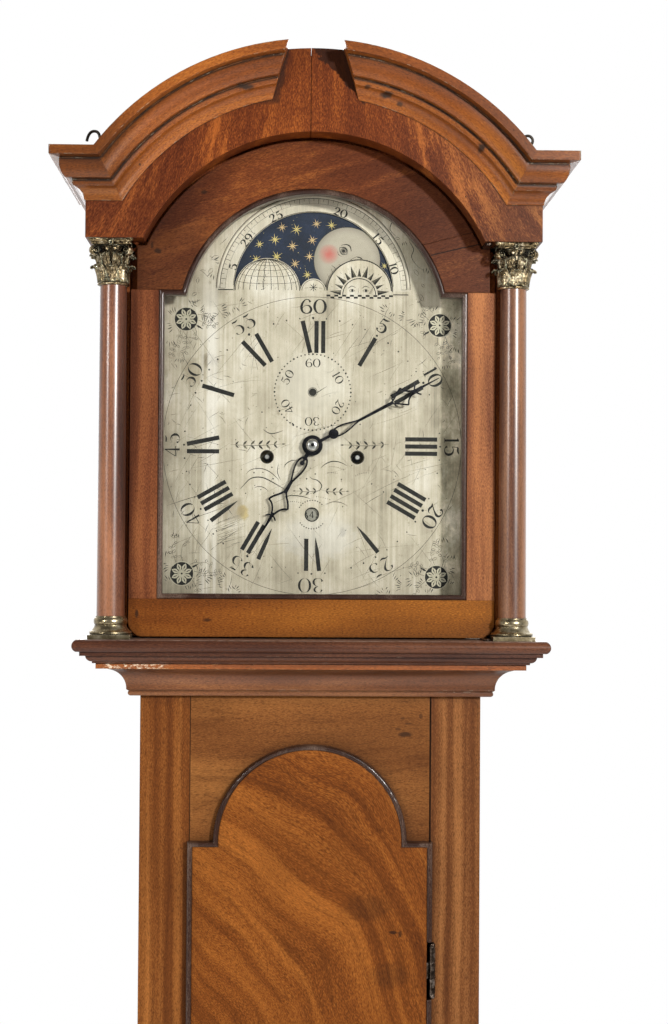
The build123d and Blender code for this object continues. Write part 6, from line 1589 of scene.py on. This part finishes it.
# ------------------------------------------------------------------ gut lines
def gut(name, node, sx, z_low):
    """From the barrel down round the weight's pulley and up to the seatboard; the twist of its strands is in its finish."""
    cx, R, y = 49.1, 20.6, 29.0
    path = []
    n = 60
    for i in range(n + 1):
        path.append((69.7, 1783 + (z_low - 1783) * i / n))
    for i in range(1, 24):
        a = -math.pi * i / 24
        path.append((cx + R * math.cos(a), z_low + R * math.sin(a)))
    for i in range(n + 1):
        path.append((28.5, z_low + (1703 - z_low) * i / n))
    rows = []
    for i, (x, z) in enumerate(path):
        a, b = path[max(0, i - 1)], path[min(len(path) - 1, i + 1)]
        dx, dz = b[0] - a[0], b[1] - a[1]
        L = math.hypot(dx, dz) or 1
        nx, nz = -dz / L, dx / L
        row = []
        for q in range(8):
            t_ = 2 * math.pi * q / 8
            row.append((sx * (x + nx * 0.85 * math.cos(t_)) * .001, (y + 0.85 * math.sin(t_)) * .001, (z + nz * 0.85 * math.cos(t_)) * .001))
        rows.append(row)
    so = Solid()
    so.grid(rows, closed_u=True)
    so.cap(rows[0][::-1])
    so.cap(rows[-1])
    m = bpy.data.meshes.new(name)
    m.from_pydata(so.v, [], so.f)
    m.materials.append(M["gut"])
    b_ = bmesh.new()
    b_.from_mesh(m)
    bmesh.ops.recalc_face_normals(b_, faces=b_.faces)
    b_.to_mesh(m)
    b_.free()
    for p in m.polygons:
        p.use_smooth = len(p.vertices) == 4
    o = link(m, name)
    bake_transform(o)
    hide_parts(node)


gut("going_gut", "going_line", 1, 1408)
gut("strike_gut", "strike_line", -1, 1363)

# ------------------------------------------------------------------ smooth shading on turned and moulded nodes
for node, obj in NODES.items():
    if obj.hide_render:
        continue
    obj.data.polygons.foreach_set("use_smooth", [True] * len(obj.data.polygons))

# ------------------------------------------------------------------ floor, light, camera
fm = bpy.data.meshes.new("studio_floor")
fm.from_pydata([(4.4 * math.cos(2 * math.pi * i / 96), 4.4 * math.sin(2 * math.pi * i / 96), 0) for i in range(96)], [], [tuple(range(96))])
floor = link(fm, "studio_floor")
t = Tree("floor_paper")
n = t.noise(t.co, scale=3, detail=3)
fm.materials.append(t.finish(Base_Color=t.ramp(n, [(0.3, (0.78, 0.775, 0.765)), (0.7, (0.84, 0.835, 0.825))]), Roughness=0.8))

world = bpy.data.worlds.new("studio")
bpy.context.scene.world = world
world.use_nodes = True
wt = world.node_tree
wt.nodes.clear()
wo = wt.nodes.new("ShaderNodeOutputWorld")
bg = wt.nodes.new("ShaderNodeBackground")
tc = wt.nodes.new("ShaderNodeTexCoord")
sp = wt.nodes.new("ShaderNodeSeparateXYZ")
wt.links.new(tc.outputs["Generated"], sp.inputs[0])
mr = wt.nodes.new("ShaderNodeMapRange")
mr.interpolation_type = "SMOOTHSTEP"
wt.links.new(sp.outputs[1], mr.inputs["Value"])
mr.inputs["From Min"].default_value, mr.inputs["From Max"].default_value = -0.55, 0.55
mr.inputs["To Min"].default_value, mr.inputs["To Max"].default_value = 0.13, 1.0
wt.links.new(mr.outputs[0], bg.inputs["Strength"])
bg.inputs["Color"].default_value = (1.0, 1.0, 1.0, 1)
wt.links.new(bg.outputs[0], wo.inputs[0])


def softbox(name, loc, aim, size, power, tint=(1, 1, 1)):
    d = bpy.data.lights.new(name, "AREA")
    d.shape = "RECTANGLE"
    d.size, d.size_y = size
    d.energy = power
    d.color = tint
    o = bpy.data.objects.new(name, d)
    bpy.context.scene.collection.objects.link(o)
    o.location = loc
    o.rotation_euler = (Vector(aim) - Vector(loc)).to_track_quat("-Z", "Y").to_euler()
    return o


softbox("key_right", (1.52, -2.85, 2.38), (0, -0.06, 1.85), (0.24, 0.24), 94, (1.0, 0.985, 0.96))
softbox("key_left", (-1.95, -2.25, 2.30), (0, -0.06, 1.75), (0.22, 0.22), 24, (1.0, 0.99, 0.975))
softbox("fill_front", (-0.20, -2.70, 1.80), (0, -0.06, 1.70), (0.9, 0.9), 14, (1.0, 0.99, 0.98)).visible_glossy = False
softbox("fill_back", (0.0, 3.0, 2.4), (0, 0.1, 1.2), (2.4, 1.4), 40, (1.0, 1.0, 1.0))
softbox("fill_low", (-2.6, -1.6, 0.6), (0, 0.0, 0.8), (1.2, 1.0), 8, (1.0, 0.99, 0.975))

yaw, pitch, roll = 27.47e-3, 20.96e-3, 6.5e-3
fwd = Vector((math.sin(yaw) * math.cos(pitch), math.cos(yaw) * math.cos(pitch), math.sin(pitch)))
rgt = Vector((math.cos(yaw), -math.sin(yaw), 0))
up = rgt.cross(fwd)
r_ = math.cos(roll) * rgt + math.sin(roll) * up
u_ = -math.sin(roll) * rgt + math.cos(roll) * up
cam_d = bpy.data.cameras.new("camera")
cam = bpy.data.objects.new("camera", cam_d)
bpy.context.scene.collection.objects.link(cam)
cam.matrix_world = Matrix(((r_.x, u_.x, -fwd.x, -0.02739), (r_.y, u_.y, -fwd.y, -1.83779),
                           (r_.z, u_.z, -fwd.z, 1.69004), (0, 0, 0, 1)))
cam_d.sensor_fit = "AUTO"
cam_d.sensor_width = 36.0
cam_d.lens = 1797.58 / 1024 * 36.0
cam_d.clip_start, cam_d.clip_end = 0.05, 60
bpy.context.scene.camera = cam
bpy.context.scene.view_settings.view_transform = "Standard"
bpy.context.scene.view_settings.look = "None"
